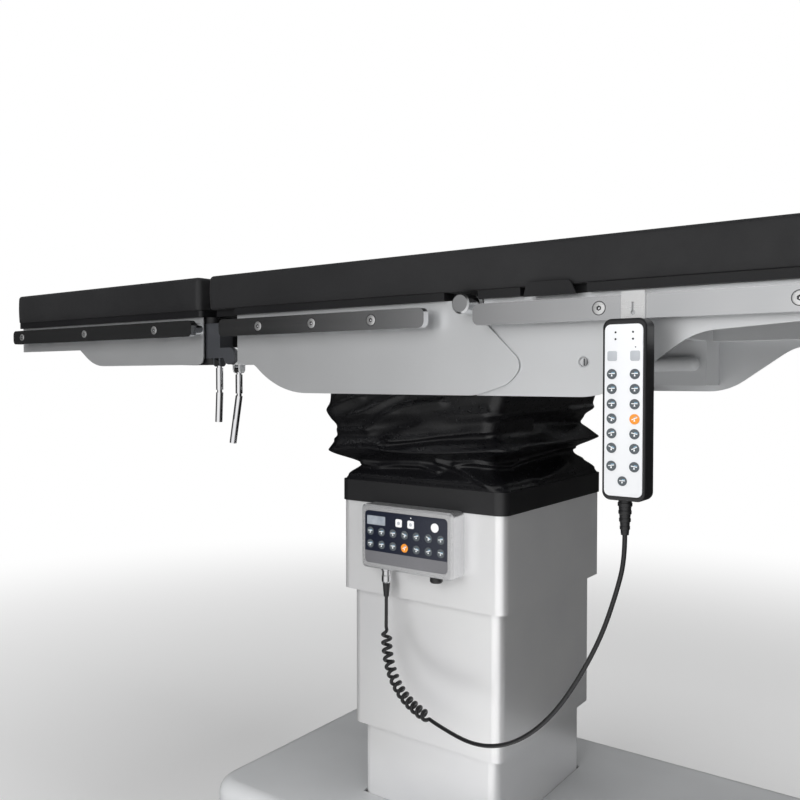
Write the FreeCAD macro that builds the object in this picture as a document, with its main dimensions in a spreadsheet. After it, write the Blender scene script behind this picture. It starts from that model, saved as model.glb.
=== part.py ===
import FreeCAD, Part
import math
import os
from types import SimpleNamespace

import Sketcher

os.makedirs("parts", exist_ok=True)
doc = FreeCAD.newDocument("OperatingTable")
sheet = doc.addObject("Spreadsheet::Sheet", "Sizes")
Vector = FreeCAD.Vector

# All sizes are in millimetres. +X runs from the feet to the head of the table, -Y is the side
# that carries the handset, and the origin is on the floor under the column's axis.
sizes = {
    # heights up the column
    "head_top": 640, "tilt_rise": 70, "pan_rise": 64, "pan_wall": 6, "plate_rise": 116,
    "plate_wall": 10, "mattress_wall": 53,
    # table sections along X
    "leg_end": -870, "leg_start": -342, "seat_end": -323, "bend_start": 60, "bend_end": 230,
    "back_end": 755, "head_start": 795, "head_end": 1110, "leg_split": 6,
    # across the table
    "mattress_over": 4, "plate_half": 256, "cover_half": 250, "cover_wall": 2, "cover_step": 3.5,
    "mattress_corner": 10, "mattress_edge": 6,
    # side rails
    "rail_high": 25, "rail_thick": 10, "rail_standoff": 15, "rail_drop": 8, "leg_rail_drop": 6,
    "rail_end_round": 8, "spacer_radius": 10, "shank_radius": 4, "screw_head_radius": 6.85,
    "screw_head_deep": 3.5, "socket_radius": 2.9, "socket_deep": 3, "screw_ring": 0.8,
    "ring_deep": 0.6, "end_spacer": 12, "seat_rail_start": -280, "seat_rail_end": 91.5,
    "back_rail_start": 161, "back_rail_end": 735, "leg_rail_start": -856,
    "seat_screw": 83, "seat_screw_pitch": 103, "back_screw": 157, "back_screw_pitch": 196,
    "leg_screw_foot": 30, "leg_screw_mid": 231, "leg_screw_hip": 423,
    # base
    "base_start": -340, "base_end": 640, "base_half": 250, "base_top": 165, "base_skirt": 25,
    "base_wall": 3, "base_corner": 45, "base_edge": 22, "chassis_margin": 3, "chassis_top": 124,
    "chassis_wall": 12, "chassis_rim": 28, "chassis_rim_wall": 7, "foot_inset": 35,
    "foot_radius": 28, "foot_rod": 12, "foot_top": 145, "foot_boss": 20, "caster_inset": 125,
    "caster_side_inset": 105, "wheel_radius": 50, "wheel_half": 14, "wheel_lift": 1, "caster_trail": 25,
    "fork_wall": 4, "fork_disc": 30, "axle_radius": 6, "stem_radius": 10,
    # lift column
    "upper_long": 278, "upper_wide": 316, "stage_step": 11.5, "stage_wall": 1.5,
    "stage_round": 14, "upper_skirt": 160, "middle_low": 275, "middle_high": 550,
    "lower_high": 390, "hem_high": 10, "band_high": 31, "band_proud": 2.5, "band_lip": 6,
    "band_over": 4, "head_wall": 10, "post_half": 76, "post_wall": 10, "post_low_top": 385,
    "post_mid_low": 226, "post_mid_top": 525, "post_top_low": 320, "slide_gap": 0.5,
    # tilting head
    "tilt_pin": 15, "tilt_gap": 55, "tilt_lug_wall": 14, "tilt_lug_half": 30, "tilt_block_half": 24,
    "bellows_wall": 4, "bellows_corner": 20, "bellows_neck": 21, "bellows_neck_rise": 25,
    "bellows_fold_rise": 45, "bellows_mid_rise": 78, "bellows_bulge_rise": 101,
    "bellows_fold_x": 19, "bellows_fold_y": 3, "bellows_mid_in": 10, "bellows_lean": 24,
    # carriage and its guides
    "pan_start": -178, "pan_end": 157, "pan_over": 5, "pan_corner": 14, "shoe_half": 65, "shoe_inner": 108,
    "shoe_outer": 142, "shoe_top": 856, "guide_inner": 118, "guide_outer": 132,
    "guide_low": 826, "guide_high": 846, "guide_end": 190,
    "screw_rod": 8, "nut_half_long": 25, "nut_half_wide": 20, "web_inner": 143, "web_wall": 5,
    # seat frame
    "seat_frame_start": -262, "seat_box_end": 112, "seat_box_wide": 63, "seat_box_gap": 5,
    "seat_box_low": 784, "seat_box_shallow": 822, "seat_plate_start": -319,
    "seat_plate_end": 109, "seat_cover_start": -266.5, "shoulder_low": 816, "shoulder_end": -232,
    "curve_foot": -179.5, "seam_low": 150, "seam_mid": 195, "seam_mid_high": 788,
    "seam_tip": 215, "seam_tip_high": 811,
    # back hinge and back section
    "pivot_x": 144, "pivot_drop": 6.3, "pivot_pin": 6, "pivot_lug": 11, "cap_radius": 12.2,
    "lug_gap": 8, "lug_wall": 14, "back_lug_wall": 15, "back_plate_start": 157,
    "notch_start": 214, "notch_end": 296, "notch_deep": 12, "stop_start": 222, "stop_end": 287,
    "back_cover_start": 150, "back_curve_low": 313, "back_curve_high": 411,
    "back_strip_low": 843, "back_strip_rise": 7, "back_strip_bend": 515, "back_box_start": 215,
    "back_box_end": 300, "back_box_wide": 68.5, "tube_high": 38, "tube_wide": 38, "lock_x": 289,
    "lock_z": 813, "lock_radius": 6.75, "lock_deep": 1.4, "cylinder_radius": 11,
    "cylinder_z": 816.5, "cylinder_start": 178, "cylinder_neck": 12, "cylinder_end": 293,
    # head section
    "head_pivot_x": 775, "head_lug_inner": 100, "head_lug_wall": 12, "head_tube_wide": 36,
    "head_tube_high": 28, "head_tube_end": 1095,
    # leg sections and their hinges
    "flex_x": -292, "flex_z": 829, "flex_radius": 13, "flex_pin": 6, "tongue_wall": 12,
    "cheek_wall": 8, "knuckle_gap": 4, "knuckle_wide": 26, "knuckle_end": -312,
    "knuckle_low": 826, "knuckle_high": 880, "swing_x": -342, "swing_round": 12,
    "swing_pin": 7, "leg_tube_start": -368, "leg_tube_end": -855,
    "leg_tube_wide": 34, "leg_tube_low": 852, "leg_cover_end": -865, "leg_cover_start": -344,
    "leg_cover_low": 816, "leg_curve_low": -632.5, "leg_curve_high": -676, "leg_strip_low": 845,
    "lever_radius": 5.5, "lever_eye": 6, "lever_neck": 4, "lever_half": 4.7, "ear_wall": 3,
    "lever_pin": 2.5, "leg_lever_x": -320, "leg_lever_in": 6, "leg_lever_z": 819,
    "seat_lever_x": -310, "seat_lever_in": 36, "seat_lever_z": 809,
    "leg_bar_gap": 82,
    # column panel
    "panel_start": -78, "panel_end": 78, "panel_low": 524.5, "panel_high": 615, "panel_deep": 30,
    "panel_bezel": 8, "panel_corner": 7, "panel_bevel": 3, "sheet_wall": 0.8, "key_wall": 0.8,
    "key_radius": 5.9, "key_pitch": 20, "key_row_low": 560, "key_row_high": 578,
    "square_key": 11, "square_row": 593.6, "screen_start": -66, "screen_end": -34,
    "screen_high": 12.6, "plug_x": -43, "plug_out": 16, "plug_radius": 7.5, "spare_x": 43,
    "spare_radius": 9,
    # handset
    "set_start": 334.5, "set_end": 380.5, "set_low": 670.5, "set_high": 855.5, "set_gap": 7,
    "set_deep": 23, "set_corner": 9, "set_edge": 3, "set_bezel": 3, "set_key_radius": 5.2,
    "set_key_side": 12, "set_key_low": 691, "set_square": 10, "set_square_row": 817.6,
    "hook_start": 344, "hook_end": 369, "hook_wall": 3, "hook_gap": 0.5, "hook_slot": 3,
    "hook_hole": 2.6, "relief_x": 355.5, "relief_high": 36, "relief_radius": 4,
    # cord
    "cord_radius": 2.5, "curl_radius": 8.5,
    # clearances
    "pin_gap": 0.05, "run_gap": 0.3,
}


class Size:
    """A number together with the spreadsheet expression that gives it."""

    def __init__(self, value, text):
        self.value = value
        self.text = text

    def __add__(self, other):
        other = sized(other)
        return Size(self.value + other.value, f"({self.text} + {other.text})")

    def __sub__(self, other):
        other = sized(other)
        return Size(self.value - other.value, f"({self.text} - {other.text})")

    def __mul__(self, other):
        other = sized(other)
        return Size(self.value * other.value, f"({self.text} * {other.text})")

    def __truediv__(self, other):
        other = sized(other)
        return Size(self.value / other.value, f"({self.text} / {other.text})")

    def __neg__(self):
        return Size(-self.value, f"(0 - {self.text})")

    def __rsub__(self, other):
        return sized(other) - self

    __radd__ = __add__
    __rmul__ = __mul__


def sized(value):
    if isinstance(value, Size):
        return value
    return Size(float(value), f"({float(value)})")


for row, (alias, number) in enumerate(sizes.items(), start=1):
    sheet.set(f"A{row}", alias)
    sheet.set(f"B{row}", str(number))
    sheet.setAlias(f"B{row}", alias)
doc.recompute()
s = SimpleNamespace(**{alias: Size(float(sheet.get(alias)), f"Sizes.{alias}") for alias in sizes})
nodes = {}


def bind(item, path, size):
    item.setExpression(path, sized(size).text)


def place(item, x=0, y=0, z=0):
    for axis, size in zip("xyz", (x, y, z)):
        bind(item, f"Placement.Base.{axis}", size)
    return item


def block(low, high, name="Block"):
    box = doc.addObject("Part::Box", name)
    for side, start, end in zip(("Length", "Width", "Height"), low, high):
        bind(box, side, sized(end) - start)
    return place(box, *low)


turns = {
    "X": FreeCAD.Rotation(Vector(0, 1, 0), 90),
    "Y": FreeCAD.Rotation(Vector(1, 0, 0), -90),
    "Z": FreeCAD.Rotation(),
    "-Y": FreeCAD.Rotation(Vector(1, 0, 0), 90),
    "-Z": FreeCAD.Rotation(Vector(1, 0, 0), 180),
}


def rod(along, start, radius, length, name="Rod"):
    cylinder = doc.addObject("Part::Cylinder", name)
    cylinder.Placement = FreeCAD.Placement(Vector(), turns[along])
    bind(cylinder, "Radius", radius)
    bind(cylinder, "Height", length)
    return place(cylinder, *start)


def fuse(*items, name="Fused"):
    joined = doc.addObject("Part::MultiFuse", name)
    joined.Shapes = list(items)
    return joined


def cut(base, *tools, name="CutOut"):
    result = doc.addObject("Part::Cut", name)
    result.Base = base
    result.Tool = tools[0] if len(tools) == 1 else fuse(*tools)
    return result


def group(*items, name="Group"):
    compound = doc.addObject("Part::Compound", name)
    compound.Links = list(items)
    return compound


def mirrored(item, name="FarSide"):
    copy = doc.addObject("Part::Mirroring", name)
    copy.Source = item
    copy.Normal = Vector(0, 1, 0)
    return copy


def both_sides(item):
    return group(item, mirrored(item))


# Sketched pieces: a closed outline on one of the body's own planes, padded to its thickness.
plane_roles = {"plan": "XY_Plane", "side": "XZ_Plane", "front": "YZ_Plane"}
plane_axes = {"plan": ("x", "y"), "side": ("x", "z"), "front": ("y", "z")}


def draw_loop(sketch, points):
    first = sketch.GeometryCount
    corners = [Vector(sized(u).value, sized(v).value, 0) for u, v in points]
    for index, corner in enumerate(corners):
        following = corners[(index + 1) % len(corners)]
        sketch.addGeometry(Part.LineSegment(corner, following), False)
    for index in range(len(points)):
        line = first + index
        after = first + (index + 1) % len(points)
        sketch.addConstraint(Sketcher.Constraint("Coincident", line, 2, after, 1))
    for index, point in enumerate(points):
        for kind, size in zip(("DistanceX", "DistanceY"), point):
            size = sized(size)
            rule = Sketcher.Constraint(kind, -1, 1, first + index, 1, size.value)
            bind(sketch, f"Constraints[{sketch.addConstraint(rule)}]", size)


def new_sketch(body, plane, loops):
    sketch = body.newObject("Sketcher::SketchObject", "Outline")
    base_plane = next(f for f in body.Origin.OriginFeatures if f.Role == plane_roles[plane])
    sketch.AttachmentSupport = [(base_plane, "")]
    sketch.MapMode = "FlatFace"
    for loop in loops:
        draw_loop(sketch, loop)
    return sketch


def padded(plane, low, high, *loops):
    body = doc.addObject("PartDesign::Body", "Padded")
    pad = body.newObject("PartDesign::Pad", "Pad")
    pad.Profile = new_sketch(body, plane, loops)
    bind(pad, "Length", sized(high) - low)
    body.Tip = pad
    axis = {"plan": "z", "side": "y", "front": "x"}[plane]
    bind(body, f"Placement.Base.{axis}", high if plane == "side" else low)
    doc.recompute()
    return body


def rectangle(u_low, u_high, v_low, v_high):
    return [(u_low, v_low), (u_high, v_low), (u_high, v_high), (u_low, v_high)]


def matching_edges(body, test):
    names = []
    for index, edge in enumerate(body.Tip.Shape.Edges, start=1):
        ends = [vertex.Point for vertex in edge.Vertexes]
        if len(ends) == 2 and test(ends[0], ends[1]):
            names.append(f"Edge{index}")
    return names


def dress(body, kind, names, radius):
    source = body.Tip
    feature = body.newObject(f"PartDesign::{kind}", kind)
    feature.Base = (source, names)
    bind(feature, "Radius" if kind == "Fillet" else "Size", radius)
    body.Tip = feature
    doc.recompute()


def round_corners(body, plane, corners, radius):
    first, second = plane_axes[plane]
    wanted = [(sized(u).value, sized(v).value) for u, v in corners]

    def at_corner(start, end):
        for u, v in wanted:
            if all(math.hypot(getattr(p, first) - u, getattr(p, second) - v) < 0.01
                   for p in (start, end)):
                return True
        return False

    dress(body, "Fillet", matching_edges(body, at_corner), radius)


def soften_rim(body, axis, level, size, kind="Fillet"):
    level = sized(level).value

    def on_rim(start, end):
        return all(abs(getattr(p, axis) - level) < 0.01 for p in (start, end))

    dress(body, kind, matching_edges(body, on_rim), size)


def turned(profile, along="Z", start=(0, 0, 0)):
    body = doc.addObject("PartDesign::Body", "Turned")
    sketch = new_sketch(body, "side", [profile])
    spin = body.newObject("PartDesign::Revolution", "Revolution")
    spin.Profile = sketch
    spin.ReferenceAxis = (sketch, ["V_Axis"])
    spin.Angle = 360
    body.Tip = spin
    body.Placement = FreeCAD.Placement(Vector(), turns[along])
    return place(body, *start)


# Heights that follow from the driving sizes.
tilt_z = s.head_top + s.tilt_rise
pan_low = tilt_z + s.pan_rise
pan_top = pan_low + s.pan_wall
band_low = s.head_top + s.band_over - s.band_high
plate_low = pan_low + s.plate_rise
plate_top = plate_low + s.plate_wall
mattress_top = plate_top + s.mattress_wall
frame_top = plate_low
rail_inner = s.cover_half + s.rail_standoff
rail_outer = rail_inner + s.rail_thick
cover_inner = s.cover_half - s.cover_wall
back_cover_outer = s.cover_half - s.cover_step
back_cover_inner = back_cover_outer - s.cover_wall
mattress_half = s.plate_half + s.mattress_over
pan_half_wide = s.upper_wide / 2 + s.pan_over
plug_y = s.upper_wide / 2 + s.plug_out
set_back = rail_outer + s.set_gap

# Places across the table, counted inwards from the side covers.
seat_box_outer = cover_inner - s.seat_box_gap
seat_box_inner = seat_box_outer - s.seat_box_wide
back_box_inner = back_cover_inner - s.back_box_wide
seat_lug_outer = cover_inner - s.lug_gap
seat_lug_inner = seat_lug_outer - s.lug_wall
back_lug_inner = seat_lug_inner - s.back_lug_wall
knuckle_outer = cover_inner - s.knuckle_gap
knuckle_inner = knuckle_outer - s.knuckle_wide
tongue_outer = knuckle_outer - s.cheek_wall
tongue_inner = tongue_outer - s.tongue_wall
swing_y = knuckle_outer - s.swing_round
leg_lever_y = knuckle_outer - s.leg_lever_in
seat_lever_y = seat_box_outer - s.seat_lever_in
leg_tube_outer = cover_inner
pivot_z = plate_low - s.pivot_drop


def hollow_stage(long, wide, low, high, next_gap):
    """A thin rectangular cover with an inner hem that rides on the stage inside it."""
    long_half, wide_half = long / 2, wide / 2
    outer = rectangle(-long_half, long_half, -wide_half, wide_half)
    inner_long, inner_wide = long_half - s.stage_wall, wide_half - s.stage_wall
    inner = rectangle(-inner_long, inner_long, -inner_wide, inner_wide)
    tube = padded("plan", low, high, outer, inner)
    round_corners(tube, "plan", outer, s.stage_round)
    round_corners(tube, "plan", inner, s.stage_round - s.stage_wall)
    if next_gap is None:
        return tube
    hem_long, hem_wide = long_half - next_gap, wide_half - next_gap
    hole = rectangle(-hem_long, hem_long, -hem_wide, hem_wide)
    hem = padded("plan", low, low + s.hem_high, inner, hole)
    round_corners(hem, "plan", inner, s.stage_round - s.stage_wall)
    return fuse(tube, hem)


def square_tube(half, wall, low, high):
    outer = rectangle(-half, half, -half, half)
    inner = rectangle(-half + wall, half - wall, -half + wall, half - wall)
    return padded("plan", low, high, outer, inner)


# Base: chassis, cover, floor feet and casters.
chassis_low = s.chassis_top - s.chassis_wall
chassis_start = s.base_start + s.chassis_margin
chassis_end = s.base_end - s.chassis_margin
chassis_half = s.base_half - s.chassis_margin
foot_spots = [(x, y) for x in (s.base_start + s.foot_inset, s.base_end - s.foot_inset)
              for y in (s.foot_inset - s.base_half, s.base_half - s.foot_inset)]
caster_side = s.base_half - s.caster_side_inset
caster_spots = {
    "foot_left": (s.base_start + s.caster_inset, -caster_side),
    "foot_right": (s.base_start + s.caster_inset, caster_side),
    "head_left": (s.base_end - s.caster_inset, -caster_side),
    "head_right": (s.base_end - s.caster_inset, caster_side),
}
lower_long = s.upper_long - s.stage_step * 4
lower_wide = s.upper_wide - s.stage_step * 4
middle_long = s.upper_long - s.stage_step * 2
middle_wide = s.upper_wide - s.stage_step * 2


def make_chassis():
    deck_outline = rectangle(chassis_start, chassis_end, -chassis_half, chassis_half)
    deck = padded("plan", chassis_low, s.chassis_top, deck_outline)
    round_corners(deck, "plan", deck_outline, s.base_corner - s.chassis_margin)
    rim_low = chassis_low - s.chassis_rim
    inset = s.base_corner
    rims = []
    for side in (-1, 1):
        y_low = -chassis_half if side < 0 else chassis_half - s.chassis_rim_wall
        rims.append(block((chassis_start + inset, y_low, rim_low),
                          (chassis_end - inset, y_low + s.chassis_rim_wall, chassis_low)))
    bosses = [rod("Z", (x, y, rim_low), s.foot_boss, s.chassis_rim) for x, y in foot_spots]
    holes = [rod("Z", (x, y, rim_low), s.foot_rod + s.run_gap, s.chassis_rim + s.chassis_wall)
             for x, y in foot_spots]
    holes += [rod("Z", (x, y, chassis_low), s.stem_radius + s.pin_gap, s.chassis_wall)
              for x, y in caster_spots.values()]
    return cut(fuse(deck, *rims, *bosses), *holes)


def make_base_cover():
    outer_outline = rectangle(s.base_start, s.base_end, -s.base_half, s.base_half)
    outer = padded("plan", s.base_skirt, s.base_top, outer_outline)
    round_corners(outer, "plan", outer_outline, s.base_corner)
    soften_rim(outer, "z", s.base_top - s.base_skirt, s.base_edge)
    wall = s.base_wall
    inner_outline = rectangle(s.base_start + wall, s.base_end - wall,
                              wall - s.base_half, s.base_half - wall)
    inner = padded("plan", s.base_skirt, s.base_top - wall, inner_outline)
    round_corners(inner, "plan", inner_outline, s.base_corner - wall)
    soften_rim(inner, "z", s.base_top - wall - s.base_skirt, s.base_edge - wall)
    gap = s.slide_gap
    collar = block((-lower_long / 2 - gap, -lower_wide / 2 - gap, s.base_top - wall),
                   (lower_long / 2 + gap, lower_wide / 2 + gap, s.base_top))
    window = block((s.base_end - wall, inlet_low[1], inlet_low[2]),
                   (s.base_end, inlet_high[1], inlet_high[2]))
    return cut(outer, inner, collar, window)


inlet_low = (s.base_end - 30, sized(96), sized(62))
inlet_high = (s.base_end + 2, sized(144), sized(98))


def make_inlet():
    body = block(inlet_low, inlet_high)
    recess = block((s.base_end - 14, inlet_low[1] + 9, inlet_low[2] + 8),
                   (inlet_high[0], inlet_high[1] - 9, inlet_high[2] - 8))
    pins = [block((s.base_end - 15, sized(y), sized(z)), (s.base_end - 3, sized(y) + 2, sized(z) + 5))
            for y, z in ((111, 75), (119, 81), (127, 75))]
    return fuse(cut(body, recess), *pins)


def make_foot(x, y):
    profile = [(0, 0), (s.foot_radius, 0), (s.foot_radius, 6), (s.foot_rod + 3, 18),
               (s.foot_rod, 18), (s.foot_rod, s.foot_top), (0, s.foot_top)]
    return turned(profile, "Z", (x, y, 0))


def make_caster(x, y):
    """One swivel fork with its axle, and the wheel that turns on it."""
    axle_x = x - s.caster_trail
    axle_z = s.wheel_radius + s.wheel_lift
    disc_top = chassis_low - s.run_gap
    disc_low = axle_z + s.wheel_radius + 1
    reach = s.wheel_half + 1
    fork_half = reach + s.fork_wall
    disc = rod("Z", (x, y, disc_low), s.fork_disc, disc_top - disc_low)
    stem = rod("Z", (x, y, disc_low), s.stem_radius, s.chassis_top - disc_low)
    cheeks = []
    for side in (-1, 1):
        y_low = y - fork_half if side < 0 else y + reach
        outline = [(axle_x - 10, axle_z - 10), (axle_x + 10, axle_z - 10),
                   (x + 16, disc_low + 3), (x - 26, disc_low + 3)]
        cheeks.append(padded("side", y_low, y_low + s.fork_wall, outline))
    axle = rod("Y", (axle_x, y - fork_half, axle_z), s.axle_radius, fork_half * 2)
    fork = fuse(disc, stem, *cheeks, axle)
    half, bore = s.wheel_half, s.axle_radius + s.pin_gap
    profile = [(bore, -half), (s.wheel_radius - 14, -half), (s.wheel_radius - 12, -half + 2),
               (s.wheel_radius - 4, -half + 2), (s.wheel_radius, -half + 8),
               (s.wheel_radius, half - 8), (s.wheel_radius - 4, half - 2),
               (s.wheel_radius - 12, half - 2), (s.wheel_radius - 14, half), (bore, half)]
    wheel = turned(profile, "Y", (axle_x, y, axle_z))
    return fork, wheel


nodes["base_chassis"] = make_chassis()
nodes["base_cover"] = group(make_base_cover(), make_inlet())
nodes["floor_feet"] = group(*[make_foot(x, y) for x, y in foot_spots])
for corner_name, spot in caster_spots.items():
    fork, wheel = make_caster(*spot)
    nodes[f"caster_fork_{corner_name}"] = fork
    nodes[f"caster_wheel_{corner_name}"] = wheel

# Lift column: three telescopic posts inside three telescopic covers.
upper_low = s.head_top - s.upper_skirt
hem_gap = s.stage_step - s.run_gap
nodes["cover_lower"] = hollow_stage(lower_long, lower_wide, s.chassis_top, s.lower_high, None)
nodes["cover_middle"] = hollow_stage(middle_long, middle_wide, s.middle_low, s.middle_high, hem_gap)
nodes["cover_upper"] = hollow_stage(s.upper_long, s.upper_wide, upper_low, s.head_top, hem_gap)
post_mid_half = s.post_half - s.post_wall - s.slide_gap
post_top_half = post_mid_half - s.post_wall - s.slide_gap
nodes["lift_post_lower"] = square_tube(s.post_half, s.post_wall, s.chassis_top, s.post_low_top)
nodes["lift_post_middle"] = square_tube(post_mid_half, s.post_wall, s.post_mid_low, s.post_mid_top)
head_low = s.head_top - s.head_wall
nodes["lift_post_upper"] = square_tube(post_top_half, s.post_wall, s.post_top_low, head_low)


def lug(axis, near, far, low, high):
    """A flat lug across the tilt axis, with a bore for its trunnion."""
    half, bore = s.tilt_lug_half, s.tilt_pin + s.pin_gap
    if axis == "Y":
        plate = padded("side", near, far, rectangle(-half, half, low, high))
        hole = rod("Y", (0, near, tilt_z), bore, sized(far) - near)
    else:
        plate = padded("front", near, far, rectangle(-half, half, low, high))
        hole = rod("X", (near, 0, tilt_z), bore, sized(far) - near)
    return cut(plate, hole)


def make_column_head():
    long_half, wide_half = s.upper_long / 2 - s.stage_wall, s.upper_wide / 2 - s.stage_wall
    outline = rectangle(-long_half, long_half, -wide_half, wide_half)
    plate = padded("plan", head_low, s.head_top, outline)
    round_corners(plate, "plan", outline, s.stage_round - s.stage_wall)
    lug_top = tilt_z + s.tilt_pin + 10
    outer = s.tilt_gap + s.tilt_lug_wall
    lugs = [lug("Y", near, far, s.head_top, lug_top)
            for near, far in ((-outer, -s.tilt_gap), (s.tilt_gap, outer))]
    return fuse(plate, *lugs)


def make_band():
    long_half, wide_half = s.upper_long / 2, s.upper_wide / 2
    low, high = band_low, s.head_top + s.band_over
    outline = rectangle(-long_half - s.band_proud, long_half + s.band_proud,
                        -wide_half - s.band_proud, wide_half + s.band_proud)
    outer = padded("plan", low, high, outline)
    round_corners(outer, "plan", outline, s.stage_round + s.band_proud)
    sleeve_outline = rectangle(-long_half, long_half, -wide_half, wide_half)
    sleeve = padded("plan", low, s.head_top, sleeve_outline)
    round_corners(sleeve, "plan", sleeve_outline, s.stage_round)
    mouth = block((s.band_lip - long_half, s.band_lip - wide_half, s.head_top),
                  (long_half - s.band_lip, wide_half - s.band_lip, high))
    return cut(outer, sleeve, mouth)


nodes["column_head"] = make_column_head()
nodes["bellows_band"] = make_band()

# Tilting head: the block whose two crossed trunnions carry the pitch and the side tilt.
block_half = s.tilt_gap - s.slide_gap
trunnion = s.tilt_gap + s.tilt_lug_wall
nodes["tilt_block"] = fuse(
    block((-block_half, -block_half, tilt_z - s.tilt_block_half),
          (block_half, block_half, tilt_z + s.tilt_block_half)),
    rod("X", (-trunnion, 0, tilt_z), s.tilt_pin, trunnion * 2),
    rod("Y", (0, -trunnion, tilt_z), s.tilt_pin, trunnion * 2))


def make_carriage():
    wide, corner = pan_half_wide, s.pan_corner
    pan = padded("plan", pan_low, pan_top, [
        (s.pan_start, -wide), (s.pan_end - corner, -wide), (s.pan_end, corner - wide),
        (s.pan_end, wide - corner), (s.pan_end - corner, wide), (s.pan_start, wide)])
    lug_low = tilt_z - s.tilt_pin - 10
    outer = s.tilt_gap + s.tilt_lug_wall
    lugs = [lug("X", near, far, lug_low, pan_low)
            for near, far in ((-outer, -s.tilt_gap), (s.tilt_gap, outer))]
    shoes = []
    gap = s.run_gap
    for low, high in ((-s.shoe_outer, -s.shoe_inner), (s.shoe_inner, s.shoe_outer)):
        shoe = block((-s.shoe_half, low, pan_top), (s.shoe_half, high, s.shoe_top))
        guide_low = -s.guide_outer if low.value < 0 else s.guide_inner
        guide_high = -s.guide_inner if low.value < 0 else s.guide_outer
        slot = block((-s.shoe_half, guide_low - gap, s.guide_low - gap),
                     (s.shoe_half, guide_high + gap, s.guide_high + gap))
        shoes.append(cut(shoe, slot))
    nut = cut(block((-s.nut_half_long, -s.nut_half_wide, pan_top),
                    (s.nut_half_long, s.nut_half_wide, screw_z + s.screw_rod + 8)),
              rod("X", (-s.nut_half_long, 0, screw_z), s.screw_rod + gap, s.nut_half_long * 2))
    return fuse(pan, *lugs, *shoes, nut)


screw_z = (s.guide_low + s.guide_high) / 2
nodes["carriage"] = make_carriage()


# Bellows: a pleated rectangular sleeve, in two lengths that meet just above the tilt axis.
def bellows_ring(rise, lean, half_x, half_y):
    chop, height = s.bellows_corner.value, s.head_top.value + rise
    points = []
    for sx, sy, along_first in ((1, 1, 1), (-1, 1, 0), (-1, -1, 1), (1, -1, 0)):
        a = Vector(sx * half_x - lean, sy * (half_y - chop), height)
        b = Vector(sx * (half_x - chop) - lean, sy * half_y, height)
        points += [a, b] if along_first else [b, a]
    return Part.makePolygon(points + points[:1])


def make_bellows(name, rings):
    wall = s.bellows_wall.value
    outside = Part.makeLoft([bellows_ring(*ring) for ring in rings], True, True)
    inner_rings = [bellows_ring(rise, lean, hx - wall, hy - wall) for rise, lean, hx, hy in rings]
    feature = doc.addObject("Part::Feature", name)
    feature.Shape = outside.cut(Part.makeLoft(inner_rings, True, True))
    return feature


half_x, half_y = s.upper_long.value / 2, s.upper_wide.value / 2
lean, neck = s.bellows_lean.value, s.bellows_neck.value
fold_x, fold_y = half_x + s.bellows_fold_x.value, half_y + s.bellows_fold_y.value
mid_x, mid_y = fold_x - s.bellows_mid_in.value, fold_y - s.bellows_mid_in.value
mid_ring = (s.bellows_mid_rise.value, lean, mid_x, mid_y)
nodes["bellows_lower"] = make_bellows("BellowsLower", [
    (s.band_over.value, 0, half_x + 0.5, half_y + 0.5),
    (s.band_over.value + 6, 1, half_x - 2, half_y - 2),
    (s.bellows_neck_rise.value, lean * 0.4, half_x - neck, half_y - neck),
    (s.bellows_fold_rise.value, lean * 0.75, fold_x, fold_y),
    (s.bellows_mid_rise.value - 10, lean, mid_x - 2, mid_y - 2),
    mid_ring])
nodes["bellows_upper"] = make_bellows("BellowsUpper", [
    mid_ring,
    (s.bellows_bulge_rise.value, lean - 2, fold_x - 2, fold_y - 1),
    (pan_low.value - s.head_top.value, lean, fold_x - 6, fold_y - 3)])


# Side rails, each screwed through its spacers to the cover behind it.
def make_stud(x, z):
    flare = s.rail_standoff + s.rail_thick - s.screw_head_deep
    outer = s.rail_standoff + s.rail_thick
    profile = [(0, 0), (s.spacer_radius, 0), (s.spacer_radius, s.rail_standoff),
               (s.shank_radius, s.rail_standoff), (s.shank_radius, flare),
               (s.screw_head_radius, outer), (0, outer)]
    return turned(profile, "-Y", (x, -s.cover_half, z))


def make_rail(start, end, drop, screws, end_spacer=False):
    high = plate_low - drop
    low = high - s.rail_high
    outline = rectangle(start, end, low, high)
    bar = padded("side", -rail_outer, -rail_inner, outline)
    round_corners(bar, "side", outline, s.rail_end_round)
    level = low + s.rail_high / 2
    if end_spacer:
        bar = fuse(bar, rod("-Y", (end - s.end_spacer, -s.cover_half, level), s.spacer_radius,
                            s.rail_standoff))
    plugs = [make_stud(x, level) for x in screws]
    rings = [rod("-Y", (x, s.ring_deep - rail_outer, level), s.screw_head_radius + s.screw_ring,
                 s.ring_deep) for x in screws]
    studs = []
    for x, plug in zip(screws, plugs):
        socket = doc.addObject("Part::Prism", "Socket")
        socket.Polygon = 6
        socket.Placement = FreeCAD.Placement(Vector(), turns["Y"])
        bind(socket, "Circumradius", s.socket_radius)
        bind(socket, "Height", s.socket_deep)
        place(socket, x, -rail_outer, level)
        studs.append(cut(plug, socket))
    return group(cut(bar, *plugs, *rings), *studs)


seat_screws = [s.seat_rail_start + s.seat_screw + s.seat_screw_pitch * i for i in range(3)]
back_screws = [s.back_rail_start + s.back_screw + s.back_screw_pitch * i for i in range(3)]
leg_screws = [s.leg_rail_start + reach for reach in (s.leg_screw_foot, s.leg_screw_mid,
                                                     s.leg_screw_hip)]
nodes["seat_rails"] = both_sides(make_rail(s.seat_rail_start, s.seat_rail_end, s.rail_drop,
                                           seat_screws))
nodes["back_rails"] = both_sides(make_rail(s.back_rail_start, s.back_rail_end, s.rail_drop,
                                           back_screws))
left_leg_rail = make_rail(s.leg_rail_start, s.leg_start, s.leg_rail_drop, leg_screws, True)
nodes["leg_rail_left"] = left_leg_rail
nodes["leg_rail_right"] = mirrored(left_leg_rail)


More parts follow.
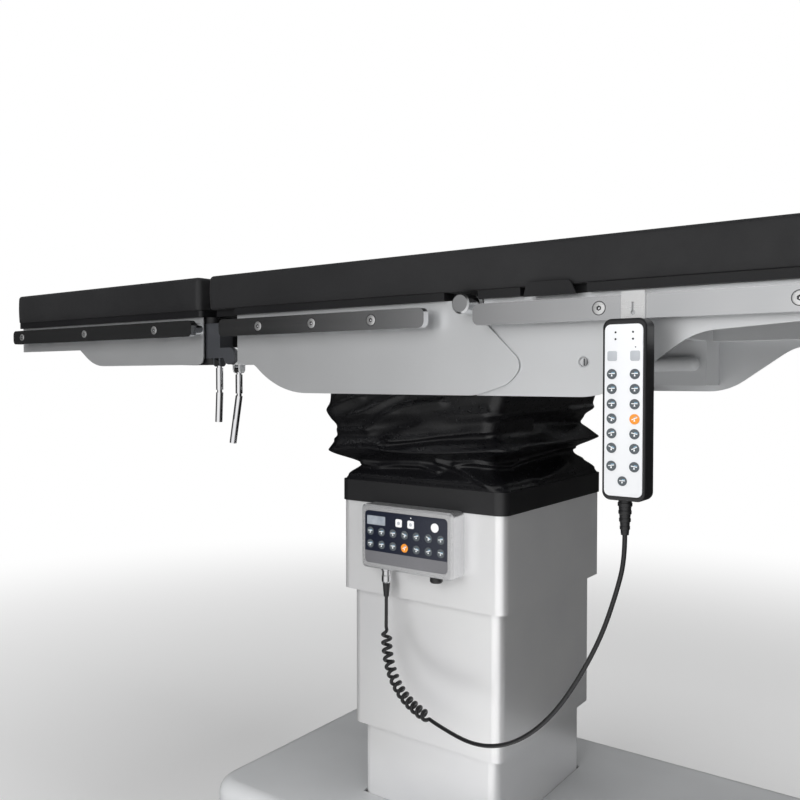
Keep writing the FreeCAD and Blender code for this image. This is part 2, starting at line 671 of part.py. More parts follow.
def make_mattress(x_low, x_high, y_low, y_high, corners):
    outline = rectangle(x_low, x_high, y_low, y_high)
    pad = padded("plan", plate_top, mattress_top, outline)
    if corners:
        round_corners(pad, "plan", corners, s.mattress_corner)
        soften_rim(pad, "z", s.mattress_wall, s.mattress_edge)
    return pad


half = mattress_half
nodes["seat_mattress"] = make_mattress(s.seat_end, s.bend_start, -half, half,
                                       [(s.seat_end, -half), (s.seat_end, half)])
nodes["mattress_bend"] = make_mattress(s.bend_start, s.bend_end, -half, half, [])
nodes["back_mattress"] = make_mattress(s.bend_end, s.back_end, -half, half,
                                       [(s.back_end, -half), (s.back_end, half)])
nodes["head_mattress"] = make_mattress(s.head_start, s.head_end, -half, half,
                                       rectangle(s.head_start, s.head_end, -half, half))
left_mattress = make_mattress(s.leg_end, s.leg_start, -half, -s.leg_split,
                              rectangle(s.leg_end, s.leg_start, -half, -s.leg_split))
nodes["leg_mattress_left"] = left_mattress
nodes["leg_mattress_right"] = mirrored(left_mattress)


# Seat section.
def seat_profile(start, end, high):
    return [(start, s.seat_box_shallow), (s.curve_foot + 10, s.seat_box_shallow),
            (s.curve_foot + 60, s.seat_box_low), (end, s.seat_box_low), (end, high), (start, high)]


def make_clevis_eye(x_low, x_high, y, z, top, radius):
    """An ear that hangs from level top and ends round the axis at height z."""
    strap = block((x_low, y - radius, z), (x_high, y + radius, top))
    return fuse(strap, rod("X", (x_low, y, z), radius, sized(x_high) - x_low))


def make_ears(x, y, z, top):
    near, far = s.lever_half + s.run_gap, s.lever_half + s.run_gap + s.ear_wall
    ears = [make_clevis_eye(x - far, x - near, y, z, top, s.lever_eye),
            make_clevis_eye(x + near, x + far, y, z, top, s.lever_eye)]
    pin = rod("X", (x - far, y, z), s.lever_pin, far * 2)
    return ears + [pin]


def make_seat_side():
    box_start = s.seat_frame_start
    box = padded("side", -seat_box_outer, -seat_box_inner,
                 seat_profile(box_start, s.seat_box_end, frame_top))
    web_outline = [(box_start, s.seat_box_shallow), (s.curve_foot + 10, s.seat_box_shallow),
                   (s.curve_foot + 60, s.seat_box_low), (s.guide_end, s.seat_box_low),
                   (s.guide_end, s.guide_high), (s.seat_box_end, s.guide_high + 24),
                   (box_start, s.guide_high + 24)]
    web = padded("side", -(s.web_inner + s.web_wall), -s.web_inner, web_outline)
    arm_outline = [(s.seat_box_end, pivot_z - 22), (s.pivot_x, pivot_z - s.pivot_lug),
                   (s.pivot_x, pivot_z + 8), (s.seat_box_end, pivot_z + 6)]
    arm = padded("side", -seat_lug_outer, -seat_lug_inner, arm_outline)
    lug_length = seat_lug_outer - seat_lug_inner
    ring = rod("Y", (s.pivot_x, -seat_lug_outer, pivot_z), s.pivot_lug, lug_length)
    bore = rod("Y", (s.pivot_x, -seat_lug_outer, pivot_z), s.pivot_pin + s.pin_gap, lug_length)
    tongue = fuse(block((s.flex_x, -tongue_outer, s.flex_z - s.flex_radius),
                        (s.seat_frame_start, -tongue_inner, s.flex_z + s.flex_radius)),
                  rod("Y", (s.flex_x, -tongue_outer, s.flex_z), s.flex_radius,
                      tongue_outer - tongue_inner))
    tongue = cut(tongue, rod("Y", (s.flex_x, -tongue_outer, s.flex_z), s.flex_pin + s.pin_gap,
                             tongue_outer - tongue_inner))
    carrier = block((s.seat_lever_x - 8, -(seat_lever_y + 8), s.seat_lever_z + 7),
                    (s.seat_frame_start, -(seat_lever_y - 9), s.seat_box_shallow + 18))
    ears = make_ears(s.seat_lever_x, -seat_lever_y, s.seat_lever_z, s.seat_lever_z + 10)
    return fuse(box, web, cut(fuse(arm, ring), bore), tongue, carrier, *ears)


def make_seat_frame():
    left = make_seat_side()
    end_plate = block((s.seat_frame_start, -seat_box_inner - 1, s.seat_box_shallow),
                      (s.seat_frame_start + 7, seat_box_inner + 1, s.guide_high + 24))
    head_plate = block((s.guide_end - 7, -s.web_inner - 1, s.seat_box_low),
                       (s.guide_end, s.web_inner + 1, s.guide_high))
    ties = [block((s.seat_box_end - 8, low, s.seat_box_low), (s.seat_box_end, high, s.guide_high + 24))
            for low, high in ((-seat_box_inner - 1, -s.web_inner - 1),
                              (s.web_inner + 1, seat_box_inner + 1))]
    return fuse(left, mirrored(left), end_plate, head_plate, *ties)


def make_guides():
    start = s.seat_frame_start + 7
    end = s.guide_end - 7
    bars = [block((start, low, s.guide_low), (end, high, s.guide_high))
            for low, high in ((-s.guide_outer, -s.guide_inner), (s.guide_inner, s.guide_outer))]
    return group(*bars, rod("X", (start, 0, screw_z), s.screw_rod, end - start))


def make_seat_cover():
    top = plate_low
    outline = [(s.seat_cover_start, s.shoulder_low), (s.shoulder_end, s.shoulder_low),
               (s.curve_foot, pan_low), (s.seam_low, pan_low), (s.seam_mid, s.seam_mid_high),
               (s.seam_tip, s.seam_tip_high), (s.pivot_x - 9.5, top), (s.seat_cover_start, top)]
    cover = padded("side", -s.cover_half, -cover_inner, outline)
    round_corners(cover, "side", [(s.shoulder_end, s.shoulder_low)], 20)
    round_corners(cover, "side", [(s.curve_foot, pan_low)], 150)
    round_corners(cover, "side", [(s.seam_low, pan_low)], 60)
    round_corners(cover, "side", [(s.seam_mid, s.seam_mid_high)], 36)
    round_corners(cover, "side", [(s.seam_tip, s.seam_tip_high)], 16)
    backing = block((s.seat_frame_start, -cover_inner, s.shoulder_low + 12),
                    (s.bend_start, -seat_box_outer, top - 20))
    boss = rod("Y", (s.pivot_x, -s.cover_half, pivot_z), s.pivot_lug, s.cover_wall)
    hole = rod("Y", (s.pivot_x, -s.cover_half, pivot_z), s.pivot_pin + s.pin_gap, s.cover_wall)
    return cut(fuse(cover, backing, boss), hole)


def make_seat_plate():
    inset = 4
    tongue = block((s.seat_plate_start, inset * 3 - s.plate_half, plate_low),
                   (s.seat_cover_start, s.plate_half - inset * 3, plate_top))
    plate_outline = rectangle(s.seat_cover_start, s.seat_plate_end, -s.plate_half, s.plate_half)
    plate = padded("plan", plate_low, plate_top, plate_outline)
    return fuse(tongue, plate)


def make_pivot_cap():
    start = -s.cover_half
    length = s.rail_standoff + s.rail_thick + 1
    cap = turned([(0, 0), (s.cap_radius, 0), (s.cap_radius, length - 2),
                  (s.cap_radius - 2, length), (0, length)], "-Y", (s.pivot_x, start, pivot_z))
    pin = rod("Y", (s.pivot_x, start, pivot_z), s.pivot_pin, s.cover_half - back_lug_inner)
    return fuse(cap, pin)


nodes["seat_frame"] = group(make_seat_frame(), make_guides())
nodes["seat_covers"] = both_sides(make_seat_cover())
nodes["seat_plate"] = make_seat_plate()
nodes["back_pivots"] = both_sides(make_pivot_cap())


# Back section.
def make_back_side():
    box = block((s.back_box_start, -back_cover_inner, s.seat_box_low),
                (s.back_box_end, -back_box_inner, frame_top))
    tube = block((s.back_box_end, -back_cover_inner, frame_top - s.tube_high),
                 (s.back_end, s.tube_wide - back_cover_inner, frame_top))
    lug_outer = seat_lug_inner - s.run_gap
    lug_length = lug_outer - back_lug_inner
    arm = block((s.pivot_x, -lug_outer, pivot_z - s.pivot_lug),
                (s.back_box_start, -back_lug_inner, frame_top))
    trim = block((s.pivot_x, -lug_outer, pivot_z + 4), (s.back_plate_start, -back_lug_inner, frame_top))
    ring = rod("Y", (s.pivot_x, -lug_outer, pivot_z), s.pivot_lug, lug_length)
    bore = rod("Y", (s.pivot_x, -lug_outer, pivot_z), s.pivot_pin + s.pin_gap, lug_length)
    lock = rod("Y", (s.lock_x, s.lock_deep - back_cover_outer, s.lock_z), s.lock_radius - 0.2,
               s.cover_wall - s.lock_deep)
    return fuse(box, tube, cut(fuse(cut(arm, trim), ring), bore), lock)


def make_back_cylinder():
    y = -(back_box_inner - s.cylinder_radius)
    barrel_length = s.cylinder_end - s.cylinder_start - s.cylinder_radius
    barrel = rod("X", (s.cylinder_start, y, s.cylinder_z), s.cylinder_radius, barrel_length)
    ball = doc.addObject("Part::Sphere", "CylinderEnd")
    bind(ball, "Radius", s.cylinder_radius)
    place(ball, s.cylinder_start + barrel_length, y, s.cylinder_z)
    rod_end = rod("X", (s.cylinder_start - s.cylinder_neck, y, s.cylinder_z), s.cylinder_radius / 2,
                  s.cylinder_neck)
    return fuse(barrel, ball, rod_end)


def make_back_frame():
    left = make_back_side()
    inner = back_cover_inner - s.tube_wide + 1
    crossbars = [block((x, -inner, frame_top - s.tube_high), (x + 18, inner, frame_top))
                 for x in (s.back_box_end - 18, s.back_end - 18)]
    lugs = []
    for side in (-1, 1):
        low = s.head_lug_inner if side > 0 else -s.head_lug_inner - s.head_lug_wall
        arm = block((s.back_end - 1, low, pivot_z - s.pivot_lug),
                    (s.head_pivot_x, low + s.head_lug_wall, pivot_z + s.pivot_drop))
        ring = rod("Y", (s.head_pivot_x, low, pivot_z), s.pivot_lug, s.head_lug_wall)
        lugs.append(cut(fuse(arm, ring), rod("Y", (s.head_pivot_x, low, pivot_z),
                                             s.pivot_pin + s.pin_gap, s.head_lug_wall)))
    frame = fuse(left, mirrored(left), *crossbars, *lugs)
    return group(frame, both_sides(make_back_cylinder()))


def make_back_cover():
    top = plate_low
    outline = [(s.back_cover_start, pan_low), (s.back_curve_low, pan_low),
               (s.back_curve_high, s.back_strip_low),
               (s.back_strip_bend, s.back_strip_low + s.back_strip_rise),
               (s.back_end, s.back_strip_low + s.back_strip_rise), (s.back_end, top),
               (s.back_plate_start + 3, top), (s.back_plate_start + 3, top - 38)]
    cover = padded("side", -back_cover_outer, -back_cover_inner, outline)
    round_corners(cover, "side", [(s.back_curve_low, pan_low)], 92)
    round_corners(cover, "side", [(s.back_curve_high, s.back_strip_low)], 74)
    hole = rod("Y", (s.lock_x, -back_cover_outer, s.lock_z), s.lock_radius, s.cover_wall)
    pads = [rod("Y", (x, -s.cover_half, plate_low - s.rail_drop - s.rail_high / 2),
                s.spacer_radius, s.cover_step) for x in back_screws]
    return fuse(cut(cover, hole), *pads)


def make_back_plate():
    edge = s.plate_half
    deep = edge - s.notch_deep
    outline = [(s.back_plate_start, -edge), (s.notch_start, -edge), (s.notch_start, -deep),
               (s.notch_end, -deep), (s.notch_end, -edge), (s.back_end, -edge), (s.back_end, edge),
               (s.notch_end, edge), (s.notch_end, deep), (s.notch_start, deep),
               (s.notch_start, edge), (s.back_plate_start, edge)]
    plate = padded("plan", plate_low, plate_top, outline)
    face_low = mattress_half + s.run_gap
    tab_outline = [(s.stop_start, plate_low - 2), (s.stop_end, plate_low - 2),
                   (s.stop_end - 8, plate_top + 4), (s.stop_start + 4, plate_top + 4)]
    tab = padded("side", -face_low - 3.5, -face_low, tab_outline)
    round_corners(tab, "side", [tab_outline[2]], 9)
    round_corners(tab, "side", [tab_outline[3]], 3)
    foot = block((s.stop_start + 6, -face_low - 1, plate_low + 1),
                 (s.stop_end - 10, -deep, plate_top - 1))
    return group(plate, both_sides(fuse(tab, foot)))


nodes["back_frame"] = make_back_frame()
nodes["back_covers"] = both_sides(make_back_cover())
nodes["back_plate"] = make_back_plate()


# Head section.
def make_head_frame():
    inner = s.head_lug_inner + s.head_lug_wall + s.run_gap
    outer = inner + s.head_tube_wide
    sides = []
    for side in (-1, 1):
        low = inner if side > 0 else -outer
        sides.append(block((s.head_start + 2, low, frame_top - s.head_tube_high),
                           (s.head_tube_end, low + s.head_tube_wide, frame_top)))
        lug_low = inner if side > 0 else -inner - s.head_lug_wall
        arm = block((s.head_pivot_x, lug_low, pivot_z - s.pivot_lug),
                    (s.head_start + 3, lug_low + s.head_lug_wall, frame_top))
        ring = rod("Y", (s.head_pivot_x, lug_low, pivot_z), s.pivot_lug, s.head_lug_wall)
        pin_low = s.head_lug_inner if side > 0 else -inner
        pin = rod("Y", (s.head_pivot_x, pin_low, pivot_z), s.pivot_pin, inner - s.head_lug_inner)
        sides.append(fuse(arm, ring, pin))
    crossbars = [block((x, -inner - 1, frame_top - s.head_tube_high), (x + 18, inner + 1, frame_top))
                 for x in (s.head_start + 60, s.head_tube_end - 18)]
    outline = rectangle(s.head_start, s.head_end, -s.plate_half, s.plate_half)
    plate = padded("plan", plate_low, plate_top, outline)
    round_corners(plate, "plan", [(s.head_end, -s.plate_half), (s.head_end, s.plate_half)],
                  s.mattress_corner)
    return group(fuse(*sides, *crossbars), plate)


nodes["head_frame"] = make_head_frame()


# Leg sections: made once for the left and mirrored for the right.
def make_knuckle():
    y_out, y_in = -knuckle_outer, -knuckle_inner
    body = block((s.swing_x, y_out, s.knuckle_low), (s.knuckle_end, y_in, s.knuckle_high))
    nose = rod("Z", (s.swing_x, -swing_y, s.knuckle_low), s.swing_round,
               s.knuckle_high - s.knuckle_low)
    cheeks = []
    slot = s.run_gap
    for low, high in ((y_out, -tongue_outer - slot), (slot - tongue_inner, y_in)):
        cheeks.append(block((s.knuckle_end, low, s.flex_z - 3),
                            (s.flex_x, high, s.flex_z + s.flex_radius)))
        cheeks.append(rod("Y", (s.flex_x, low, s.flex_z), s.flex_radius, sized(high) - low))
    pin = rod("Y", (s.flex_x, y_out, s.flex_z), s.flex_pin, knuckle_outer - knuckle_inner)
    bore = rod("Z", (s.swing_x, -swing_y, s.knuckle_low), s.swing_pin + s.pin_gap,
               s.knuckle_high - s.knuckle_low)
    ears = make_ears(s.leg_lever_x, -leg_lever_y, s.leg_lever_z, s.knuckle_low + 1)
    return fuse(cut(fuse(body, nose), bore), *cheeks, pin, *ears)


def make_lever(x, y, z, upper, lower, lean):
    """A round handle that hangs from its eye, with a neck and a leaning lower grip."""
    eye = cut(rod("X", (x - s.lever_half, y, z), s.lever_eye, s.lever_half * 2),
              rod("X", (x - s.lever_half, y, z), s.lever_pin + s.pin_gap, s.lever_half * 2))
    throat = cut(rod("Z", (x, y, z - s.lever_eye - 2.5), s.lever_neck, s.lever_eye + 1),
                 rod("X", (x - s.lever_half, y, z), s.lever_pin + s.pin_gap, s.lever_half * 2))
    stem = rod("Z", (x, y, z - s.lever_eye - 2 - upper), s.lever_radius, upper)
    neck = rod("Z", (x, y, z - s.lever_eye - 8 - upper), s.lever_neck, 8)
    grip = doc.addObject("Part::Cylinder", "Grip")
    tilt = FreeCAD.Rotation(Vector(0, 1, 0), lean)
    grip.Placement = FreeCAD.Placement(Vector(), tilt * turns["-Z"])
    bind(grip, "Radius", s.lever_radius)
    bind(grip, "Height", lower)
    place(grip, x, y, z - s.lever_eye - 6 - upper)
    return fuse(eye, throat, stem, neck, grip)


def make_leg_frame():
    outer, wide = leg_tube_outer, s.leg_tube_wide
    start, end = s.leg_tube_end, s.leg_tube_start
    side_tube = block((start, -outer, s.leg_tube_low), (end, wide - outer, frame_top))
    inner_tube = block((start, -s.leg_split - 24, s.leg_tube_low), (end, -s.leg_split - 4, frame_top))
    crossbars = [block((x, wide - outer - 1, s.leg_tube_low), (x + 20, -s.leg_split - 23, frame_top))
                 for x in (start, end - s.leg_bar_gap - 20)]
    arms = []
    arm_out, arm_in = -swing_y - s.swing_round, -swing_y + s.swing_round
    upper_low_z = s.knuckle_high + s.run_gap
    lower_top_z = s.knuckle_low - s.run_gap
    for low, high in ((upper_low_z, frame_top), (s.leg_cover_low, lower_top_z)):
        arms.append(block((end - 32, arm_out, low), (s.swing_x, arm_in, high)))
        arms.append(rod("Z", (s.swing_x, -swing_y, low), s.swing_round, high - low))
    post = block((end - 32, arm_out, s.leg_cover_low), (end, arm_in, s.leg_tube_low + 1))
    pin = rod("Z", (s.swing_x, -swing_y, s.leg_cover_low), s.swing_pin,
              frame_top - s.leg_cover_low)
    outline = rectangle(s.leg_end, s.leg_start, -s.plate_half, -s.leg_split)
    plate = padded("plan", plate_low, plate_top, outline)
    round_corners(plate, "plan", outline, s.mattress_edge)
    return group(fuse(side_tube, inner_tube, *crossbars, *arms, post, pin), plate)


def make_leg_cover():
    outline = [(s.leg_cover_end, s.leg_strip_low), (s.leg_curve_high, s.leg_strip_low),
               (s.leg_curve_low, s.leg_cover_low), (s.leg_cover_start, s.leg_cover_low),
               (s.leg_cover_start, plate_low), (s.leg_cover_end, plate_low)]
    cover = padded("side", -s.cover_half, -cover_inner, outline)
    round_corners(cover, "side", [(s.leg_curve_low, s.leg_cover_low)], 90)
    round_corners(cover, "side", [(s.leg_cover_start, s.leg_cover_low)], 12)
    return cover


left_knuckle = make_knuckle()
left_leg_frame = make_leg_frame()
left_leg_cover = make_leg_cover()
left_leg_lever = make_lever(s.leg_lever_x, -leg_lever_y, s.leg_lever_z, 34, 46, 3)
left_seat_lever = make_lever(s.seat_lever_x, -seat_lever_y, s.seat_lever_z, 30, 76, 11)
for piece_name, left_piece in {
    "leg_knuckle": left_knuckle, "leg_frame": left_leg_frame, "leg_cover": left_leg_cover,
    "leg_lever": left_leg_lever, "seat_lever": left_seat_lever,
}.items():
    nodes[f"{piece_name}_left"] = left_piece
    nodes[f"{piece_name}_right"] = mirrored(left_piece)


# Column panel: housing, key sheet, spare socket and the plug of the handset cord.
def make_panel():
    face = s.upper_wide / 2
    outline = rectangle(s.panel_start, s.panel_end, s.panel_low, s.panel_high)
    housing = padded("side", -face - s.panel_deep, -face, outline)
    round_corners(housing, "side", outline, s.panel_corner)
    soften_rim(housing, "y", -s.panel_deep, s.panel_bevel, "Chamfer")
    front = -face - s.panel_deep
    bezel = s.panel_bezel
    sheet_outline = rectangle(s.panel_start + bezel, s.panel_end - bezel,
                              s.panel_low + bezel, s.panel_high - bezel)
    key_sheet = padded("side", front - s.sheet_wall, front, sheet_outline)
    round_corners(key_sheet, "side", sheet_outline, s.panel_corner)
    key_front = front - s.sheet_wall - s.key_wall
    keys = [rod("Y", (s.key_pitch * column, key_front, level), s.key_radius, s.key_wall)
            for column in range(-3, 4) for level in (s.key_row_low, s.key_row_high)]
    square, level = s.square_key / 2, s.square_row
    for x in (-10, 10.5):
        keys.append(block((x - square, key_front, level - square),
                          (x + square, key_front + s.key_wall, level + square)))
    keys.append(rod("Y", (50.4, key_front, level), s.key_radius, s.key_wall))
    keys.append(block((s.screen_start, key_front + s.key_wall / 2, level - s.screen_high / 2),
                      (s.screen_end, key_front + s.key_wall, level + s.screen_high / 2)))
    band_room = block((s.panel_start - 1, -face - s.band_proud - s.run_gap, band_low - s.run_gap),
                      (s.panel_end + 1, 1 - face, s.panel_high + 1))
    return cut(housing, band_room), fuse(key_sheet, *keys)


def make_plug():
    radius, high = s.plug_radius, s.panel_low
    profile = [(0, 0), (radius, 0), (radius, 3), (radius - 1.5, 4), (radius - 1.5, 10),
               (radius - 0.7, 11), (radius - 0.7, 19), (radius - 1.7, 20.5), (radius - 2, 21),
               (s.cord_radius + 1.2, 41), (0, 41)]
    return turned(profile, "-Z", (s.plug_x, -plug_y, high))


def make_spare_socket():
    radius = s.spare_radius
    profile = [(0, 0), (radius, 0), (radius, 7), (radius - 1.5, 9), (0, 9)]
    return turned(profile, "-Z", (s.spare_x, -plug_y, s.panel_low))


nodes["panel_housing"], nodes["panel_keys"] = make_panel()
nodes["cord_plug"] = make_plug()
nodes["spare_socket"] = make_spare_socket()


# Handset hung on the back rail.
def make_handset():
    outline = rectangle(s.set_start, s.set_end, s.set_low, s.set_high)
    front = -set_back - s.set_deep
    case = padded("side", front, -set_back, outline)
    round_corners(case, "side", outline, s.set_corner)
    soften_rim(case, "y", -s.set_deep, s.set_edge)
    mid_y = -set_back - s.set_deep / 2
    relief = turned([(0, -1), (s.relief_radius + 2.6, -1), (s.relief_radius + 2.6, 5),
                     (s.relief_radius, s.relief_high), (0, s.relief_high)], "-Z",
                    (s.relief_x, mid_y, s.set_low))
    bezel = s.set_bezel
    sheet_outline = rectangle(s.set_start + bezel, s.set_end - bezel,
                              s.set_low + bezel, s.set_high - bezel)
    key_sheet = padded("side", front - s.sheet_wall, front, sheet_outline)
    round_corners(key_sheet, "side", sheet_outline, s.set_corner - bezel)
    key_front = front - s.sheet_wall - s.key_wall
    centre = (s.set_start + s.set_end) / 2
    keys = [rod("Y", (centre, key_front, s.set_key_low), s.set_key_radius, s.key_wall)]
    for side in (-1, 1):
        x = centre + s.set_key_side * side
        for rise in (15, 33.2, 48, 63, 78, 93.2, 108.2):
            keys.append(rod("Y", (x, key_front, s.set_key_low + rise), s.set_key_radius, s.key_wall))
        half_key = s.set_square / 2
        keys.append(block((x - half_key, key_front, s.set_square_row - half_key),
                          (x + half_key, key_front + s.key_wall, s.set_square_row + half_key)))
    return fuse(case, relief), fuse(key_sheet, *keys)


def make_hook():
    front = -rail_outer - s.hook_gap
    back = -rail_inner + s.hook_gap
    wall = s.hook_wall
    rail_top = plate_low - s.rail_drop
    top = rail_top + s.run_gap
    outline = [(front - wall, rail_top - 80), (front, rail_top - 80), (front, top), (back, top),
               (back, rail_top - 18), (back + wall, rail_top - 18), (back + wall, top + wall),
               (front - wall, top + wall)]
    clip = padded("front", s.hook_start, s.hook_end, outline)
    pad = block((s.hook_start + 5, -set_back, rail_top - 78),
                (s.hook_end - 5, front - wall, rail_top - 36))
    middle, level = (s.hook_start + s.hook_end) / 2, rail_top - 19
    slot = block((middle - s.hook_slot / 2, front - wall, level),
                 (middle + s.hook_slot / 2, front, level + 11))
    hole = rod("Y", (middle, front - wall, level), s.hook_hole, wall)
    return fuse(cut(clip, slot, hole), pad)


nodes["handset_case"], nodes["handset_keys"] = make_handset()
nodes["handset_hook"] = make_hook()


# Handset cord: route points by hand, straight runs joined by tangent arcs.
def cord_path(points):
    edges = []
    radii = []
    start = points[0]
    for before, here, after in zip(points, points[1:], points[2:]):
        into = (here - before).normalize()
        out = (after - here).normalize()
        turn = into.getAngle(out)
        shorter = min(before.distanceToPoint(here), here.distanceToPoint(after))
        radius = 0.45 * shorter / math.tan(turn / 2)
        radii.append(radius)
        back_off = 0.45 * shorter
        arc_start = here - into * back_off
        arc_end = here + out * back_off
        middle = (arc_start + arc_end) * 0.5
        centre_side = (middle - here).normalize()
        bulge = radius / math.cos(turn / 2) - radius
        edges.append(Part.LineSegment(start, arc_start).toShape())
        edges.append(Part.Arc(arc_start, here + centre_side * bulge, arc_end).toShape())
        start = arc_end
    edges.append(Part.LineSegment(start, points[-1]).toShape())
    return Part.Wire(edges), radii


def cord_tube(name, points, radius):
    path, radii = cord_path(points)
    circle = Part.makeCircle(radius, points[0], (points[1] - points[0]).normalize())
    tube = path.makePipeShell([Part.Wire(circle)], True, False)
    expected = math.pi * radius ** 2 * path.Length
    print(f"{name}: length {path.Length:.1f}, volume ratio {tube.Volume / expected:.4f}, "
          f"radii {[round(r) for r in radii]}")
    feature = doc.addObject("Part::Feature", name)
    feature.Shape = tube
    return feature


plug_end = Vector(s.plug_x.value, -plug_y.value, s.panel_low.value - 41)
fall = [plug_end, plug_end + Vector(0, 0, -25), plug_end + Vector(1, -2, -51)]
curl = [fall[-1], Vector(-33, -184, 398), Vector(-10, -196, 370), Vector(28, -211, 352),
        Vector(70, -222, 346)]
set_end = Vector(s.relief_x.value, -set_back.value - s.set_deep.value / 2,
                 s.set_low.value - s.relief_high.value)
lead = [curl[-1] + (curl[-1] - curl[-2]).normalize() * 0.4, Vector(112, -233, 341),
        Vector(155, -246, 345), Vector(197, -259, 361), Vector(237, -271, 389),
        Vector(273, -280, 427), Vector(304, -287, 474), Vector(330, -291, 524),
        Vector(347, -293, 574), set_end + Vector(0, 0, -26), set_end]
nodes["cord_curl"] = group(cord_tube("CordDrop", fall, s.cord_radius.value),
                           cord_tube("CordCurl", curl, s.curl_radius.value))
nodes["cord_lead"] = cord_tube("CordLead", lead, s.cord_radius.value)

doc.recompute()
failed = [item.Name for item in doc.Objects if "Invalid" in item.State or "Error" in item.State]
if failed:
    raise RuntimeError(f"These objects failed to rebuild: {failed}")
for name, item in nodes.items():
    if item.Shape.isNull() or not item.Shape.isValid():
        raise RuntimeError(f"{name} has no valid shape")
    item.Label = name
for name, item in nodes.items():
    item.Shape.exportStep(os.path.join("parts", f"{name}.step"))
print(f"{len(nodes)} nodes written")
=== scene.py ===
import math

import bmesh
import bpy
from mathutils import Matrix, Vector, noise


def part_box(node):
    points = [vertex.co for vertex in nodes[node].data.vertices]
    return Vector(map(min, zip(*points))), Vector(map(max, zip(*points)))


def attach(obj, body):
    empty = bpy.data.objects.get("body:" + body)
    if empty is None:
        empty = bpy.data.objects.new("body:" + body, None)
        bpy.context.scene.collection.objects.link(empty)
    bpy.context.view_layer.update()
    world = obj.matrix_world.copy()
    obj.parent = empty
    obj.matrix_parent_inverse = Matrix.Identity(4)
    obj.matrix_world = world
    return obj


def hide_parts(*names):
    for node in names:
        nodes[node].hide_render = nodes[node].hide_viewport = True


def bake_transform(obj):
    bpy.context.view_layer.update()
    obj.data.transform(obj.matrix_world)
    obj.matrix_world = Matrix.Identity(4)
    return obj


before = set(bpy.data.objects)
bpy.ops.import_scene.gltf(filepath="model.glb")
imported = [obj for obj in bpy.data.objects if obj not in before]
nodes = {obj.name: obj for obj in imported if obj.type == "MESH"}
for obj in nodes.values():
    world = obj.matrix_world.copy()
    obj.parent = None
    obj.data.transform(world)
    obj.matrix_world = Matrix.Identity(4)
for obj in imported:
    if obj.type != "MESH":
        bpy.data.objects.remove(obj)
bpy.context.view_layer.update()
scene = bpy.context.scene
scene.view_settings.view_transform = "Standard"
mm = 0.001

# camera, at the height of the tabletop's underside and looking along the column's near corner
cameraLook = {"place": (0.673, -1.114, 0.795), "heading": 36.35, "dip": 1.5, "lens": 37.42}
bpy.ops.object.camera_add(
    location=cameraLook["place"],
    rotation=(math.radians(90 - cameraLook["dip"]), 0, math.radians(cameraLook["heading"])))
scene.camera = bpy.context.object
scene.camera.data.lens = cameraLook["lens"]
print("camera set")


# ---- materials ----
def addNode(material, kind, **values):
    node = material.node_tree.nodes.new(kind)
    for key, value in values.items():
        if hasattr(node, key):
            setattr(node, key, value)
        else:
            node.inputs[key.replace("_", " ")].default_value = value
    return node


noiseLook = {"fineDetail": 4.0, "broadDetail": 2.0, "broadScale": 7.0, "reliefDepth": 0.0002,
             "colourFrom": 0.35, "colourTo": 0.65, "roughFrom": 0.3, "roughTo": 0.7}


def finishOf(name, look):
    """colour, roughness and fine relief from one settings dictionary"""
    material = bpy.data.materials.new(name)
    material.use_nodes = True
    tree = material.node_tree
    shader = tree.nodes["Principled BSDF"]
    link = tree.links.new
    for socket in ("Metallic", "Sheen Weight", "Specular IOR Level"):
        if socket in look:
            shader.inputs[socket].default_value = look[socket]
    place = addNode(material, "ShaderNodeTexCoord")
    mapping = addNode(material, "ShaderNodeMapping", Scale=look.get("grain", (1, 1, 1)))
    link(place.outputs["Object"], mapping.inputs["Vector"])
    fine = addNode(material, "ShaderNodeTexNoise", Scale=look["fineScale"],
                   Detail=noiseLook["fineDetail"])
    link(mapping.outputs["Vector"], fine.inputs["Vector"])
    broad = addNode(material, "ShaderNodeTexNoise", Detail=noiseLook["broadDetail"],
                    Scale=look.get("broadScale", noiseLook["broadScale"]))
    link(place.outputs["Object"], broad.inputs["Vector"])
    blend = addNode(material, "ShaderNodeMix", data_type="RGBA")
    blend.inputs["A"].default_value = (*look["colour"], 1)
    blend.inputs["B"].default_value = (*look["worn"], 1)
    spread = addNode(material, "ShaderNodeMapRange", From_Min=noiseLook["colourFrom"],
                     From_Max=noiseLook["colourTo"])
    link(broad.outputs["Fac"], spread.inputs["Value"])
    link(spread.outputs["Result"], blend.inputs["Factor"])
    link(blend.outputs["Result"], shader.inputs["Base Color"])
    rough = addNode(material, "ShaderNodeMapRange", From_Min=noiseLook["roughFrom"],
                    From_Max=noiseLook["roughTo"], To_Min=look["roughness"][0],
                    To_Max=look["roughness"][1])
    link(fine.outputs["Fac"], rough.inputs["Value"])
    link(rough.outputs["Result"], shader.inputs["Roughness"])
    bump = addNode(material, "ShaderNodeBump", Strength=look["relief"],
                   Distance=look.get("reliefDepth", noiseLook["reliefDepth"]))
    height = fine.outputs["Fac"]
    if look.get("cells"):
        cells = addNode(material, "ShaderNodeTexVoronoi", Scale=look["cells"])
        link(place.outputs["Object"], cells.inputs["Vector"])
        height = cells.outputs["Distance"]
    link(height, bump.inputs["Height"])
    link(bump.outputs["Normal"], shader.inputs["Normal"])
    return material


